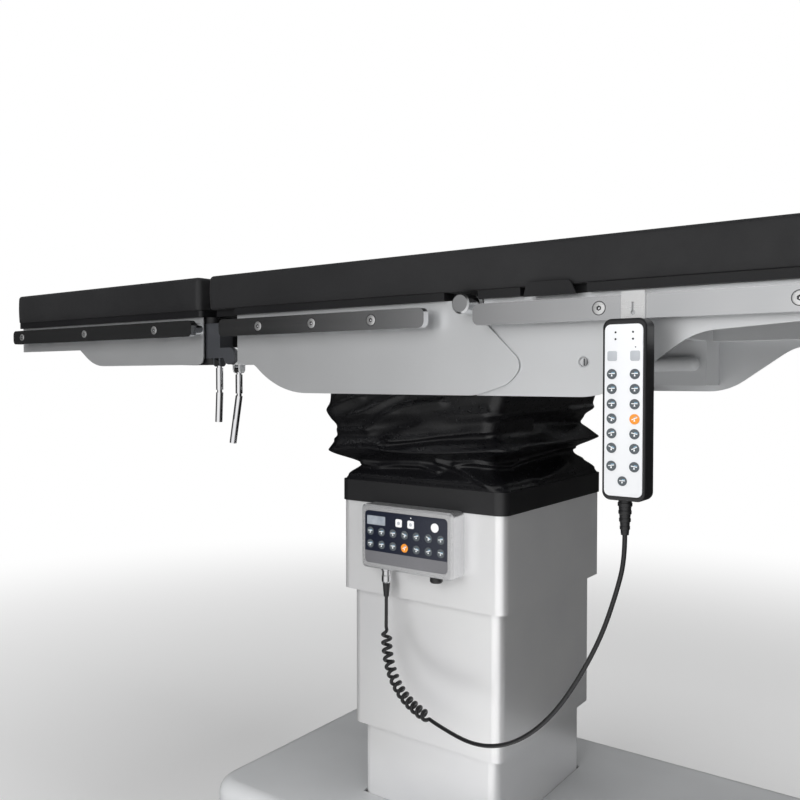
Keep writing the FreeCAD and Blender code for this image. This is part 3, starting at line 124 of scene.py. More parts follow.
finishes = {
    "coverSteel": {"colour": (0.74, 0.75, 0.76), "worn": (0.78, 0.79, 0.80), "Metallic": 0.75,
                   "roughness": (0.32, 0.38), "grain": (0.01, 1, 1), "fineScale": 900.0,
                   "relief": 0.012},
    "columnSteel": {"colour": (0.88, 0.88, 0.89), "worn": (0.92, 0.92, 0.92), "Metallic": 0.6,
                    "roughness": (0.30, 0.36), "grain": (1, 1, 0.006), "fineScale": 1100.0,
                    "relief": 0.012},
    "railSteel": {"colour": (0.58, 0.59, 0.60), "worn": (0.66, 0.66, 0.67), "Metallic": 1.0,
                  "roughness": (0.14, 0.20), "grain": (0.004, 1, 1), "fineScale": 1100.0,
                  "relief": 0.03},
    "polishedChrome": {"colour": (0.80, 0.80, 0.82), "worn": (0.86, 0.86, 0.87), "Metallic": 1.0,
                       "roughness": (0.04, 0.10), "fineScale": 60.0, "relief": 0.01},
    "framePaint": {"colour": (0.66, 0.67, 0.68), "worn": (0.70, 0.71, 0.72),
                   "roughness": (0.36, 0.46), "fineScale": 700.0, "relief": 0.08},
    "darkPaint": {"colour": (0.035, 0.037, 0.042), "worn": (0.050, 0.052, 0.058),
                  "roughness": (0.34, 0.44), "fineScale": 700.0, "relief": 0.08},
    "postPaint": {"colour": (0.10, 0.10, 0.11), "worn": (0.13, 0.13, 0.14),
                  "roughness": (0.38, 0.50), "fineScale": 600.0, "relief": 0.08},
    "basePaint": {"colour": (0.56, 0.57, 0.58), "worn": (0.60, 0.61, 0.62),
                  "roughness": (0.34, 0.42), "fineScale": 900.0, "relief": 0.06},
    "plateBlack": {"colour": (0.005, 0.005, 0.006), "worn": (0.009, 0.009, 0.010),
                   "roughness": (0.42, 0.55), "fineScale": 800.0, "relief": 0.1},
    "padCloth": {"colour": (0.010, 0.010, 0.011), "worn": (0.014, 0.014, 0.015),
                 "roughness": (0.50, 0.62), "fineScale": 40.0, "cells": 1100.0, "relief": 0.16,
                 "reliefDepth": 0.0003, "Sheen Weight": 0.04},
    "sleeveRubber": {"colour": (0.004, 0.004, 0.005), "worn": (0.007, 0.007, 0.008),
                     "roughness": (0.26, 0.34), "Specular IOR Level": 0.5, "fineScale": 260.0,
                     "relief": 0.12, "reliefDepth": 0.0004},
    "bandBlack": {"colour": (0.010, 0.010, 0.011), "worn": (0.015, 0.015, 0.016),
                  "roughness": (0.32, 0.42), "fineScale": 500.0, "relief": 0.08},
    "tyreGrey": {"colour": (0.045, 0.047, 0.050), "worn": (0.070, 0.072, 0.075),
                 "roughness": (0.55, 0.70), "fineScale": 500.0, "relief": 0.15},
    "footBlack": {"colour": (0.012, 0.012, 0.013), "worn": (0.022, 0.022, 0.023),
                  "roughness": (0.55, 0.70), "fineScale": 500.0, "relief": 0.15},
    "panelSilver": {"colour": (0.70, 0.70, 0.71), "worn": (0.74, 0.74, 0.75), "Metallic": 0.75,
                    "roughness": (0.24, 0.30), "fineScale": 1500.0, "relief": 0.02},
    "membraneNavy": {"colour": (0.010, 0.013, 0.025), "worn": (0.013, 0.016, 0.030),
                     "roughness": (0.26, 0.34), "fineScale": 900.0, "relief": 0.04},
    "membraneGrey": {"colour": (0.14, 0.14, 0.15), "worn": (0.17, 0.17, 0.18),
                     "roughness": (0.26, 0.34), "fineScale": 900.0, "relief": 0.04},
    "membraneWhite": {"colour": (0.74, 0.75, 0.77), "worn": (0.78, 0.79, 0.80),
                      "roughness": (0.30, 0.40), "fineScale": 900.0, "relief": 0.04},
    "keyGrey": {"colour": (0.075, 0.088, 0.098), "worn": (0.095, 0.108, 0.118),
                "roughness": (0.28, 0.38), "fineScale": 900.0, "relief": 0.05},
    "keyPale": {"colour": (0.42, 0.44, 0.47), "worn": (0.48, 0.50, 0.53),
                "roughness": (0.28, 0.38), "fineScale": 900.0, "relief": 0.05},
    "keyWhite": {"colour": (0.84, 0.85, 0.86), "worn": (0.88, 0.88, 0.89),
                 "roughness": (0.28, 0.38), "fineScale": 900.0, "relief": 0.05},
    "keyOrange": {"colour": (0.80, 0.27, 0.02), "worn": (0.86, 0.31, 0.03),
                  "roughness": (0.28, 0.38), "fineScale": 900.0, "relief": 0.05},
    "markWhite": {"colour": (0.86, 0.88, 0.90), "worn": (0.90, 0.91, 0.92),
                  "roughness": (0.35, 0.45), "fineScale": 900.0, "relief": 0.02},
    "markBlue": {"colour": (0.22, 0.42, 0.58), "worn": (0.26, 0.46, 0.62),
                 "roughness": (0.35, 0.45), "fineScale": 900.0, "relief": 0.02},
    # dark lamp glass; the same dark also stands as painted shade in the screws' grooves and sockets
    # and in the lock slots
    "lampDarkAndShade": {"colour": (0.02, 0.02, 0.022), "worn": (0.03, 0.03, 0.032),
                 "roughness": (0.15, 0.25), "fineScale": 300.0, "relief": 0.02},
    "screenGrey": {"colour": (0.26, 0.29, 0.33), "worn": (0.36, 0.39, 0.43),
                   "roughness": (0.12, 0.20), "broadScale": 60.0, "fineScale": 300.0,
                   "relief": 0.02},
    "casePlastic": {"colour": (0.012, 0.012, 0.013), "worn": (0.017, 0.017, 0.018),
                    "roughness": (0.34, 0.46), "fineScale": 1400.0, "relief": 0.12},
    "cordRubber": {"colour": (0.011, 0.011, 0.012), "worn": (0.017, 0.017, 0.018),
                   "roughness": (0.36, 0.48), "fineScale": 900.0, "relief": 0.08},
    "hookSteel": {"colour": (0.80, 0.80, 0.80), "worn": (0.86, 0.86, 0.86), "Metallic": 0.9,
                  "roughness": (0.26, 0.36), "grain": (0.01, 1, 1), "fineScale": 1200.0,
                  "relief": 0.06},
}
finishes = {name: finishOf(name, look) for name, look in finishes.items()}
print("finishes made:", len(finishes))


plugLook = {"shell": (0.62, 0.62, 0.63), "boot": (0.012, 0.012, 0.013), "bootTop": 0.5035,
            "shellRough": 0.16, "bootRough": 0.42, "blur": 0.0002, "grainScale": 900.0,
            "grainDetail": 3.0, "relief": 0.06, "reliefDepth": 0.0002}


def plugFinish():
    """a bright metal shell above a dark rubber boot, parted at one height"""
    material = bpy.data.materials.new("plugShellAndBoot")
    material.use_nodes = True
    link = material.node_tree.links.new
    shader = material.node_tree.nodes["Principled BSDF"]
    place = addNode(material, "ShaderNodeTexCoord")
    parts = addNode(material, "ShaderNodeSeparateXYZ")
    link(place.outputs["Object"], parts.inputs["Vector"])
    above = addNode(material, "ShaderNodeMapRange",
                    From_Min=plugLook["bootTop"] - plugLook["blur"],
                    From_Max=plugLook["bootTop"] + plugLook["blur"])
    link(parts.outputs["Z"], above.inputs["Value"])
    colour = addNode(material, "ShaderNodeMix", data_type="RGBA")
    colour.inputs["A"].default_value = (*plugLook["boot"], 1)
    colour.inputs["B"].default_value = (*plugLook["shell"], 1)
    link(above.outputs["Result"], colour.inputs["Factor"])
    link(colour.outputs["Result"], shader.inputs["Base Color"])
    link(above.outputs["Result"], shader.inputs["Metallic"])
    rough = addNode(material, "ShaderNodeMapRange", To_Min=plugLook["bootRough"],
                    To_Max=plugLook["shellRough"])
    link(above.outputs["Result"], rough.inputs["Value"])
    link(rough.outputs["Result"], shader.inputs["Roughness"])
    grain = addNode(material, "ShaderNodeTexNoise", Scale=plugLook["grainScale"],
                    Detail=plugLook["grainDetail"])
    link(place.outputs["Object"], grain.inputs["Vector"])
    bump = addNode(material, "ShaderNodeBump", Strength=plugLook["relief"],
                   Distance=plugLook["reliefDepth"])
    link(grain.outputs["Fac"], bump.inputs["Height"])
    link(bump.outputs["Normal"], shader.inputs["Normal"])
    return material


finishes["plugShell"] = plugFinish()


# ---- working in edit mode ----
def deselectAll():
    if bpy.context.mode != "OBJECT":
        bpy.ops.object.mode_set(mode="OBJECT")
    bpy.ops.object.select_all(action="DESELECT")


def named(piece, name):
    piece.name = name
    piece.data.name = name
    return piece


def editing(piece):
    deselectAll()
    bpy.context.view_layer.objects.active = piece
    piece.select_set(True)
    bpy.ops.object.mode_set(mode="EDIT")


def pick(piece, test, kind="FACE"):
    """select faces, edges or vertices of the piece being edited, by their place"""
    bpy.ops.mesh.select_mode(type=kind)
    bpy.ops.mesh.select_all(action="DESELECT")
    mesh = bmesh.from_edit_mesh(piece.data)
    for item in {"FACE": mesh.faces, "EDGE": mesh.edges, "VERT": mesh.verts}[kind]:
        if test(item):
            item.select_set(True)
    mesh.select_flush_mode()
    bmesh.update_edit_mesh(piece.data)


def settle(piece):
    """put the piece's place into its mesh"""
    deselectAll()
    bpy.context.view_layer.objects.active = piece
    piece.select_set(True)
    bpy.ops.object.transform_apply(location=True, rotation=True, scale=True)


def applyModifier(piece, kind, **values):
    deselectAll()
    bpy.context.view_layer.objects.active = piece
    piece.select_set(True)
    modifier = piece.modifiers.new(kind.title(), kind)
    for key, value in values.items():
        setattr(modifier, key, value)
    bpy.ops.object.modifier_apply(modifier=modifier.name)


def smoothed(piece, degrees=35):
    deselectAll()
    bpy.context.view_layer.objects.active = piece
    piece.select_set(True)
    bpy.ops.object.shade_smooth_by_angle(angle=math.radians(degrees))


def dressed(piece, finish):
    piece.data.materials.clear()
    piece.data.materials.append(finishes[finish])
    return piece


def joined(pieces, name):
    deselectAll()
    for piece in pieces:
        piece.select_set(True)
    bpy.context.view_layer.objects.active = pieces[0]
    if len(pieces) > 1:
        bpy.ops.object.join()
    return named(bpy.context.view_layer.objects.active, name)


def box(low, high, name):
    deselectAll()
    middle = [(a + b) / 2 * mm for a, b in zip(low, high)]
    bpy.ops.mesh.primitive_cube_add(size=1, location=middle)
    piece = named(bpy.context.object, name)
    piece.scale = [(b - a) * mm for a, b in zip(low, high)]
    settle(piece)
    return piece


def drum(place, radius, depth, along, name, sides=40):
    """a cylinder centred on place, in mm, along one axis"""
    deselectAll()
    turn = {"X": (0, math.pi / 2, 0), "Y": (math.pi / 2, 0, 0), "Z": (0, 0, 0)}[along]
    bpy.ops.mesh.primitive_cylinder_add(vertices=sides, radius=radius * mm, depth=depth * mm,
                                        location=[v * mm for v in place], rotation=turn)
    piece = named(bpy.context.object, name)
    settle(piece)
    return piece


def stepFace(steps, side):
    """inset the selected face and move it along Y, once for each (inset, rise) of the steps"""
    for inset, rise in steps:
        bpy.ops.mesh.inset(thickness=inset * mm, depth=0)
        bpy.ops.transform.translate(value=(0, rise * side * mm, 0))


def dressAll(groups, body):
    """join each group under its name, dress it and let it ride"""
    for pieces, name, finish, slotName in groups:
        piece = joined(pieces, name)
        smoothed(piece)
        dressed(piece, finish)
        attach(piece, body)


# ---- cord of the handset ----
cordRoute = {
    "curl": [(-43, -174, 483.5), (-43, -174, 458.5), (-42, -176, 432.5), (-33, -184, 398),
             (-10, -196, 370), (28, -211, 352), (70, -222, 346)],
    "lead": [(70.4, -222.1, 345.9), (112, -233, 341), (155, -246, 345), (197, -259, 361),
             (237, -271, 389), (273, -280, 427), (304, -287, 474), (330, -291, 524),
             (347, -293, 574), (355.5, -293.5, 608.5), (355.5, -293.5, 634.5)],
    "radius": 2.5, "coilRadius": 5.8, "pitch": 11.0, "coilFrom": 43.0, "easeIn": 14.0,
    # distance between points of the coil and of the lead, and what runs straight after the coil
    "coilStep": 0.75, "leadStep": 2.5, "straightEnd": 4,
    # points left out beside each end, so that the cord starts and ends straight
    "leftOut": 4,
    # the smooth coil is shorter than the line through its points: this share was fitted to
    # the length that the finished tube measures
    "smoothShare": 0.985,
    "chain": [("column_top", "yoke"), ("yoke", "carriage"), ("carriage", "seat"),
              ("seat", "back")],
}


def routeCurve(points, name, order=3, bevel=0.0):
    curve = bpy.data.curves.new(name, "CURVE")
    curve.dimensions = "3D"
    curve.resolution_u = 16
    spline = curve.splines.new("NURBS")
    spline.points.add(len(points) - 1)
    for target, point in zip(spline.points, points):
        target.co = (*[v * mm for v in point], 1)
    spline.order_u = order
    spline.use_endpoint_u = True
    curve.bevel_depth = bevel * mm
    curve.bevel_resolution = 5
    curve.use_fill_caps = True
    item = bpy.data.objects.new(name, curve)
    scene.collection.objects.link(item)
    return item


def linePoints(route):
    """the smooth line of a route, as closely spaced points in mm"""
    guide = routeCurve(route, "guide")
    mesh = bpy.data.meshes.new_from_object(guide)
    points = [vertex.co.copy() / mm for vertex in mesh.vertices]
    bpy.data.meshes.remove(mesh)
    bpy.data.curves.remove(guide.data)
    return points


def alongLine(points, step):
    """points at even distances, each with its distance from the start"""
    marks = [0.0]
    for before, after in zip(points, points[1:]):
        marks.append(marks[-1] + (after - before).length)
    count = max(2, round(marks[-1] / step))
    spaced, index = [], 0
    for number in range(count + 1):
        target = marks[-1] * number / count
        while index < len(marks) - 2 and marks[index + 1] < target:
            index += 1
        share = (target - marks[index]) / max(marks[index + 1] - marks[index], 1e-9)
        spaced.append((target, points[index].lerp(points[index + 1], min(share, 1.0))))
    return spaced, marks[-1]


def makeCurl():
    line, total = alongLine(linePoints(cordRoute["curl"]), cordRoute["coilStep"])
    turned = []
    side = Vector((1, 0, 0))
    for number, (distance, point) in enumerate(line):
        ahead = line[min(number + 1, len(line) - 1)][1]
        behind = line[max(number - 1, 0)][1]
        along = (ahead - behind).normalized()
        side = (side - along * side.dot(along)).normalized()
        other = along.cross(side)
        ramp = cordRoute["easeIn"]
        past = max(distance - cordRoute["coilFrom"], 0)
        left = max(total - cordRoute["straightEnd"] - distance, 0)
        ease = min(past / ramp, 1, left / ramp)
        ease = ease * ease * (3 - 2 * ease)
        wound = past - ramp / 2 if past > ramp else past * past / (2 * ramp)
        if left < ramp:
            wound -= (ramp - left) ** 2 / (2 * ramp)
        angle = 2 * math.pi * wound / cordRoute["pitch"]
        reach = cordRoute["coilRadius"] * ease
        turned.append(point + side * reach * math.cos(angle) + other * reach * math.sin(angle))
    leftOut = cordRoute["leftOut"]
    kept = [turned[0]] + turned[leftOut:-leftOut] + [turned[-1]]
    curl = routeCurve(kept, "curlyCord", bevel=cordRoute["radius"])
    curl.data.resolution_u = 2
    curl.data.materials.append(finishes["cordRubber"])
    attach(curl, "column_top")
    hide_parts("cord_curl")


def makeLead():
    line = alongLine(linePoints(cordRoute["lead"]), cordRoute["leadStep"])[0]
    points = [point for distance, point in line]
    share = len(points) / len(cordRoute["chain"])
    for number, (bodyA, bodyB) in enumerate(cordRoute["chain"]):
        first, last = round(number * share), min(round((number + 1) * share), len(points) - 1)
        run = points[first:last + 1]
        curve = bpy.data.curves.new(f"handsetLead{number + 1}", "CURVE")
        curve.dimensions = "3D"
        spline = curve.splines.new("POLY")
        spline.points.add(len(run) - 1)
        for target, point in zip(spline.points, run):
            target.co = (*(point * mm), 1)
        curve.bevel_depth = cordRoute["radius"] * mm
        curve.bevel_resolution = 5
        curve.use_fill_caps = True
        lead = bpy.data.objects.new(curve.name, curve)
        scene.collection.objects.link(lead)
        deselectAll()
        bpy.context.view_layer.objects.active = lead
        lead.select_set(True)
        bpy.ops.object.convert(target="MESH")
        lead = bpy.context.object
        smoothed(lead, 60)
        dressed(lead, "cordRubber")
        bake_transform(lead)
        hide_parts("cord_lead")


makeCurl()
makeLead()
print("cord laid")


# ---- mattress ----
padLook = {
    "top": 953.0, "base": 900.0, "half": 260.0, "split": 6.0, "cornerRound": 10.0,
    "topRound": 5.5, "baseRound": 2.5, "crown": 2.0, "sideGive": 1.2,
    # where the crown and the give begin, as shares, and how late the crown falls off
    "crownFrom": 0.6, "sideFrom": 0.97, "endFrom": 0.985, "endPower": 8, "sidePower": 6,
    # start, end and number of lengths between cuts of each section
    "main": (-323, 755, 75), "leg": (-870, -342, 12), "head": (795, 1110, 8),
    "widths": 12, "cutsUp": (0.25, 0.5, 0.75),
    # the stretch that bends with the back section, in metres
    "bend": ((0.06, 0, 0.9), (0.23, 0, 0.9)),
}


def softenPad(piece, low, high):
    """a slight crown on the top and give in the sides, kept inside the solid's own box"""
    middle = [(a + b) / 2 for a, b in zip(low, high)]
    for vertex in piece.data.vertices:
        point = vertex.co / mm
        up = (point.z - low[2]) / (high[2] - low[2])
        acrossX = abs(point.x - middle[0]) / (high[0] - low[0]) * 2
        acrossY = abs(point.y - middle[1]) / (high[1] - low[1]) * 2
        if up > padLook["crownFrom"]:
            fall = max(acrossX ** padLook["endPower"], acrossY ** padLook["sidePower"])
            rise = (up - padLook["crownFrom"]) / (1 - padLook["crownFrom"])
            vertex.co.z -= padLook["crown"] * fall * mm * rise
        waist = math.sin(min(max(up, 0), 1) * math.pi)
        give = padLook["sideGive"] * (1 - waist) * mm
        if acrossY > padLook["sideFrom"]:
            vertex.co.y -= math.copysign(give, point.y - middle[1])
        if acrossX > padLook["endFrom"]:
            vertex.co.x -= math.copysign(give, point.x - middle[0])


def makePad(name, low, high, cuts, body=None):
    piece = box(low, high, name)
    editing(piece)
    long = high[0] - low[0]
    for number in range(1, cuts):
        bpy.ops.mesh.select_all(action="SELECT")
        bpy.ops.mesh.bisect(plane_co=((low[0] + long * number / cuts) * mm, 0, 0),
                            plane_no=(1, 0, 0))
    wide = high[1] - low[1]
    for number in range(1, padLook["widths"]):
        bpy.ops.mesh.select_all(action="SELECT")
        bpy.ops.mesh.bisect(plane_co=(0, (low[1] + wide * number / padLook["widths"]) * mm, 0),
                            plane_no=(0, 1, 0))
    for share in padLook["cutsUp"]:
        bpy.ops.mesh.select_all(action="SELECT")
        height = low[2] + (high[2] - low[2]) * share
        bpy.ops.mesh.bisect(plane_co=(0, 0, height * mm), plane_no=(0, 0, 1))

    def atEnd(value, ends):
        return any(abs(value / mm - end) < 0.01 for end in ends)

    def uprightEdge(edge):
        return all(atEnd(v.co.x, (low[0], high[0])) and atEnd(v.co.y, (low[1], high[1]))
                   for v in edge.verts)

    def rimEdge(level):
        def test(edge):
            sides = [f.normal for f in edge.link_faces]
            flat = [abs(n.z) > 0.9 for n in sides]
            return all(abs(v.co.z / mm - level) < 0.01 for v in edge.verts) and sum(flat) == 1
        return test

    pick(piece, uprightEdge, "EDGE")
    bpy.ops.mesh.bevel(offset=padLook["cornerRound"] * mm, segments=6, affect="EDGES")
    pick(piece, rimEdge(high[2]), "EDGE")
    bpy.ops.mesh.bevel(offset=padLook["topRound"] * mm, segments=5, affect="EDGES")
    pick(piece, rimEdge(low[2]), "EDGE")
    bpy.ops.mesh.bevel(offset=padLook["baseRound"] * mm, segments=2, affect="EDGES")
    bpy.ops.object.mode_set(mode="OBJECT")
    softenPad(piece, low, high)
    smoothed(piece, 40)
    dressed(piece, "padCloth")
    if body:
        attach(piece, body)
    return piece


def makeMattresses():
    top, base, half, split = (padLook[key] for key in ("top", "base", "half", "split"))
    start, end, cuts = padLook["main"]
    main = makePad("mattressMain", (start, -half, base), (end, half, top), cuts)
    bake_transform(main)
    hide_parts("seat_mattress", "mattress_bend", "back_mattress")
    start, end, cuts = padLook["leg"]
    for side, low, high in (("left", -half, -split), ("right", split, half)):
        leg = makePad(f"mattressLeg{side.title()}", (start, low, base), (end, high, top), cuts,
                      f"leg_{side}")
        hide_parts(f"leg_mattress_{side}")
    start, end, cuts = padLook["head"]
    head = makePad("mattressHead", (start, -half, base), (end, half, top), cuts, "head")
    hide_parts("head_mattress")


makeMattresses()
print("mattress made")


# ---- bellows ----
sleeveLook = {
    # height, lean toward the feet, half length, half width
    "profile": [(644, 0, 139.5, 158.5), (650, 1, 137, 156), (665, 9.6, 118, 137),
                (685, 18, 155, 159), (708, 24, 143, 148), (718, 24, 144, 150),
                (741, 22, 152, 158), (774, 17, 154, 158)],
    "low": 644, "seam": 718.0, "high": 774, "corner": 18.0, "cornerShare": 0.08,
    "around": 272, "rows": 56, "wall": 3.0, "blendInset": 1,
    # heights between which the climb and the creases come in, and go again
    "climbIn": (644, 692), "climbOut": (732, 774),
    "creaseIn": (644, 654), "creaseOut": (768, 774),
    # how far the rubber wavers, and over what width and height
    "waver": 1.4, "waverWide": 60, "waverHigh": 24,
    # how much higher the folds lie at each corner, from the near foot corner round by +X
    "climb": [0.0, 14.0, 17.0, 4.0],
    # creases: points of (place along the face, height), how far it stands out, and how far
    # it spreads above and below
    "frontCreases": [
        ([(-170, 746), (-133, 759), (-102, 768)], 3.0, 5, 6),
        ([(-131, 735), (-93, 746), (-56, 762), (-34, 771)], 3.6, 5, 5),
        ([(-150, 716), (-100, 718)], 3.0, 5, 5),
        ([(-94, 720), (-64, 737), (-32, 751), (3, 758), (40, 763)], 4.6, 6, 7),
        ([(-59, 705), (-33, 716), (8, 729), (49, 737), (81, 742), (109, 746)], 5.0, 9, 12),
        ([(-52, 704), (-16, 707), (35, 715), (83, 721), (116, 723)], 4.6, 7, 2.6),
        ([(-65, 696), (-36, 699), (33, 708), (116, 714)], -4.6, 4, 4),
        ([(-176, 685), (-121, 691), (-86, 693), (-53, 690), (-11, 689), (40, 691), (88, 696),
          (124, 700)], 4.2, 4, 3),
        ([(-113, 667), (-79, 665), (-42, 669), (-7, 670), (27, 665)], 7.0, 5, 4),
        ([(24, 677), (60, 670), (86, 663), (111, 654), (119, 645)], 8.0, 5, 5),
        ([(54, 675), (86, 679), (118, 676)], 6.0, 4, 3)],
    "sideCreases": [
        ([(-154, 700), (-127, 698), (-99, 703), (-39, 702), (27, 700), (98, 700), (164, 703)],
         4.2, 4, 3),
        ([(-142, 676), (-94, 673), (-65, 677), (-3, 681), (65, 686), (114, 684)], 6.0, 4, 3),
        ([(-61, 651), (1, 657), (69, 667)], 6.0, 5, 4),
        ([(62, 742), (160, 748)], 6.0, 8, 8),
        ([(-31, 730), (21, 729), (121, 724), (160, 724)], -5.0, 6, 6),
        ([(-150, 716), (-80, 712), (-10, 716)], -3.0, 5, 5)],
}


def between(table, key):
    for before, after in zip(table, table[1:]):
        if key <= after[0]:
            share = max(0.0, (key - before[0]) / (after[0] - before[0]))
            share = share * share * (3 - 2 * share)
            return [a + (b - a) * share for a, b in zip(before[1:], after[1:])]
    return list(table[-1][1:])


def smoothStep(low, high, value):
    share = min(max((value - low) / (high - low), 0.0), 1.0)
    return share * share * (3 - 2 * share)


def creaseOut(creases, along, height):
    """how far the creases lift one point of a face"""
    lifted = 0.0
    for points, stand, above, below in creases:
        nearest = None
        for (startAt, startHeight), (endAt, endHeight) in zip(points, points[1:]):
            runAt, runHeight = endAt - startAt, endHeight - startHeight
            share = (along - startAt) * runAt + (height - startHeight) * runHeight
            share = min(max(share / (runAt * runAt + runHeight * runHeight), 0.0), 1.0)
            away = (along - startAt - runAt * share, height - startHeight - runHeight * share)
            reach = math.hypot(*away)
            if nearest is None or reach < nearest[0]:
                nearest = (reach, away[1])
        reach, over = nearest
        spread = above if over > 0 else below
        lifted += stand * math.exp(-(reach / spread) ** 2)
    return lifted


def sleevePoint(turn, height):
    """a point of the sleeve: turn from 0 to 4 counts its faces, starting at the -X end of -Y"""
    face, share = int(turn) % 4, turn - int(turn)
    climb = sleeveLook["climb"]
    climb = climb[face] + (climb[(face + 1) % 4] - climb[face]) * share
    held = smoothStep(*sleeveLook["climbIn"], height)
    held *= 1 - smoothStep(*sleeveLook["climbOut"], height)
    lean, halfX, halfY = between(sleeveLook["profile"], height - climb * held)
    corner, part = sleeveLook["corner"], sleeveLook["cornerShare"]
    reachAlong, reachOut = (halfX, halfY) if face in (0, 2) else (halfY, halfX)
    if share < part:   # the second half of the corner before this face
        angle = -(1 - share / part) * math.pi / 4
        along = corner - reachAlong + corner * math.sin(angle)
    elif share > 1 - part:   # the first half of the corner after it
        angle = (share - 1 + part) / part * math.pi / 4
        along = reachAlong - corner + corner * math.sin(angle)
    else:
        angle = 0.0
        along = (share - part) / (1 - 2 * part) * 2 * (reachAlong - corner) - reachAlong + corner
    out = reachOut - corner + corner * math.cos(angle)
    facing = face * math.pi / 2 - math.pi / 2
    outward = Vector((math.cos(facing), math.sin(facing)))
    onward = Vector((-outward.y, outward.x))
    point = outward * out + onward * along - Vector((lean, 0))
    normal = outward * math.cos(angle) + onward * math.sin(angle)
    frontPlace = point.x if normal.y < 0 else -point.x
    sidePlace = point.y if normal.x > 0 else -point.y
    lift = normal.y ** 2 * creaseOut(sleeveLook["frontCreases"], frontPlace, height)
    lift += normal.x ** 2 * creaseOut(sleeveLook["sideCreases"], sidePlace, height)
    wide, high = sleeveLook["waverWide"], sleeveLook["waverHigh"]
    lift += sleeveLook["waver"] * noise.noise(Vector((point.x / wide, point.y / wide, height / high)))
    shown = smoothStep(*sleeveLook["creaseIn"], height)
    point += normal * lift * shown * (1 - smoothStep(*sleeveLook["creaseOut"], height))
    return Vector((point.x, point.y, height))


def makeSleeve(name, low, high, node):
    deselectAll()
    bpy.ops.mesh.primitive_cylinder_add(vertices=sleeveLook["around"], radius=1, depth=1,
                                        end_fill_type="NOTHING")
    piece = named(bpy.context.object, name)
    editing(piece)
    for number in range(1, sleeveLook["rows"]):
        bpy.ops.mesh.select_all(action="SELECT")
        bpy.ops.mesh.bisect(plane_co=(0, 0, number / sleeveLook["rows"] - 0.5),
                            plane_no=(0, 0, 1))
    bpy.ops.object.mode_set(mode="OBJECT")
    for vertex in piece.data.vertices:
        angle = math.atan2(vertex.co.y, vertex.co.x)
        turn = (angle + math.pi * 0.75) / (math.pi / 2) % 4
        height = low + (vertex.co.z + 0.5) * (high - low)
        vertex.co = sleevePoint(turn, height) * mm
    applyModifier(piece, "SOLIDIFY", thickness=sleeveLook["wall"] * mm, offset=-1)
    smoothed(piece, 60)
    dressed(piece, "sleeveRubber")
    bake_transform(piece)
    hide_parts(node)


makeSleeve("sleeveLower", sleeveLook["low"], sleeveLook["seam"],
           "bellows_lower")
makeSleeve("sleeveUpper", sleeveLook["seam"], sleeveLook["high"],
           "bellows_upper")
print("bellows made")


# ---- column key panel ----
panelLook = {
    "front": -188.0, "sheetX": (-70.0, 70.0), "sheetZ": (532.5, 607.0), "sheetCorner": 6.0,
    "stripTop": 549.8, "keyX": [-60, -40, -20, 0, 20, 40, 60],
    "keyZ": [578.0, 560.0], "keyRadius": 5.9, "orangeKey": (3, 1),
    "squareX": (-10.0, 10.5), "squareZ": 593.6, "squareSize": 11.0, "roundWhite": (50.4, 593.4),
    "screenX": (-66.0, -33.8), "screenZ": (587.4, 600.0), "lamp": (10.6, 602.6),
    # tilt of each key's little table sign, top row then bottom row
    "tilts": [[0, 0, 0, 24, -14, 30, -10], [0, 0, 0, -24, 14, -18, 10]],
    "keyDepth": 0.6, "signSize": 7.4, "signLift": 0.66, "squareCorner": 2.2, "roundRadius": 6.2,
    "ringRadius": 2.4, "ringDepth": 0.16, "ringSteps": ((0.7, -0.12),),
    "screenDepth": 0.12, "screenCorner": 0.8, "screenEdge": 0.05,
    "lampRadius": 0.9, "lampDepth": 0.4, "lampLift": 0.1,
}
sheetThick = 0.8
# the steps of a key's domed face, as (inset, rise)
keySteps = ((0.5, 0.18), (1.2, -0.08))
# the bars of a key's table sign and its foot, as shares of the sign's size
signLook = {"thick": 0.12, "pivot": 0.09, "top": ((-0.5, 0.5), (0.02, 0.15)),
            "pad": ((-0.05, 0.5), (0.21, 0.32)), "footHalf": 0.14, "footLow": 0.36,
            "footTop": 0.04, "neckFrom": 0.1, "neck": 0.35}


def roundedPlate(name, spanX, spanZ, front, depth, corner, edge=0.25):
    """a thin plate facing -Y, with rounded corners and a fine edge"""
    piece = box((spanX[0], front, spanZ[0]), (spanX[1], front + depth, spanZ[1]), name)
    editing(piece)
    pick(piece, lambda e: abs((e.verts[0].co - e.verts[1].co).normalized().y) > 0.9, "EDGE")
    bpy.ops.mesh.bevel(offset=corner * mm, segments=8, affect="EDGES")
    pick(piece, lambda f: f.normal.y < -0.9)
    bpy.ops.mesh.bevel(offset=edge * mm, segments=2, affect="EDGES")
    bpy.ops.object.mode_set(mode="OBJECT")
    return piece


def keyCap(place, radius, front, depth, name):
    """one domed key facing -Y"""
    piece = drum((place[0], front - depth / 2, place[1]), radius, depth, "Y", name, 36)
    editing(piece)
    pick(piece, lambda f: f.normal.y < -0.9)
    stepFace(keySteps, -1)
    bpy.ops.object.mode_set(mode="OBJECT")
    return piece


def signBar(place, size, across, upward, tilt, front, name):
    """one bar of a sign, tilted about the sign's middle; across and upward are shares of its size"""
    bar = box((place[0] + size * across[0], front - signLook["thick"], place[1] + size * upward[0]),
              (place[0] + size * across[1], front, place[1] + size * upward[1]), name)
    editing(bar)
    centre = Vector((place[0], front, place[1] + size * signLook["pivot"])) * mm
    turn = Matrix.Rotation(math.radians(tilt), 4, "Y")
    mesh = bmesh.from_edit_mesh(bar.data)
    for vertex in mesh.verts:
        vertex.co = centre + turn @ (vertex.co - centre)
    bmesh.update_edit_mesh(bar.data)
    bpy.ops.object.mode_set(mode="OBJECT")
    return bar


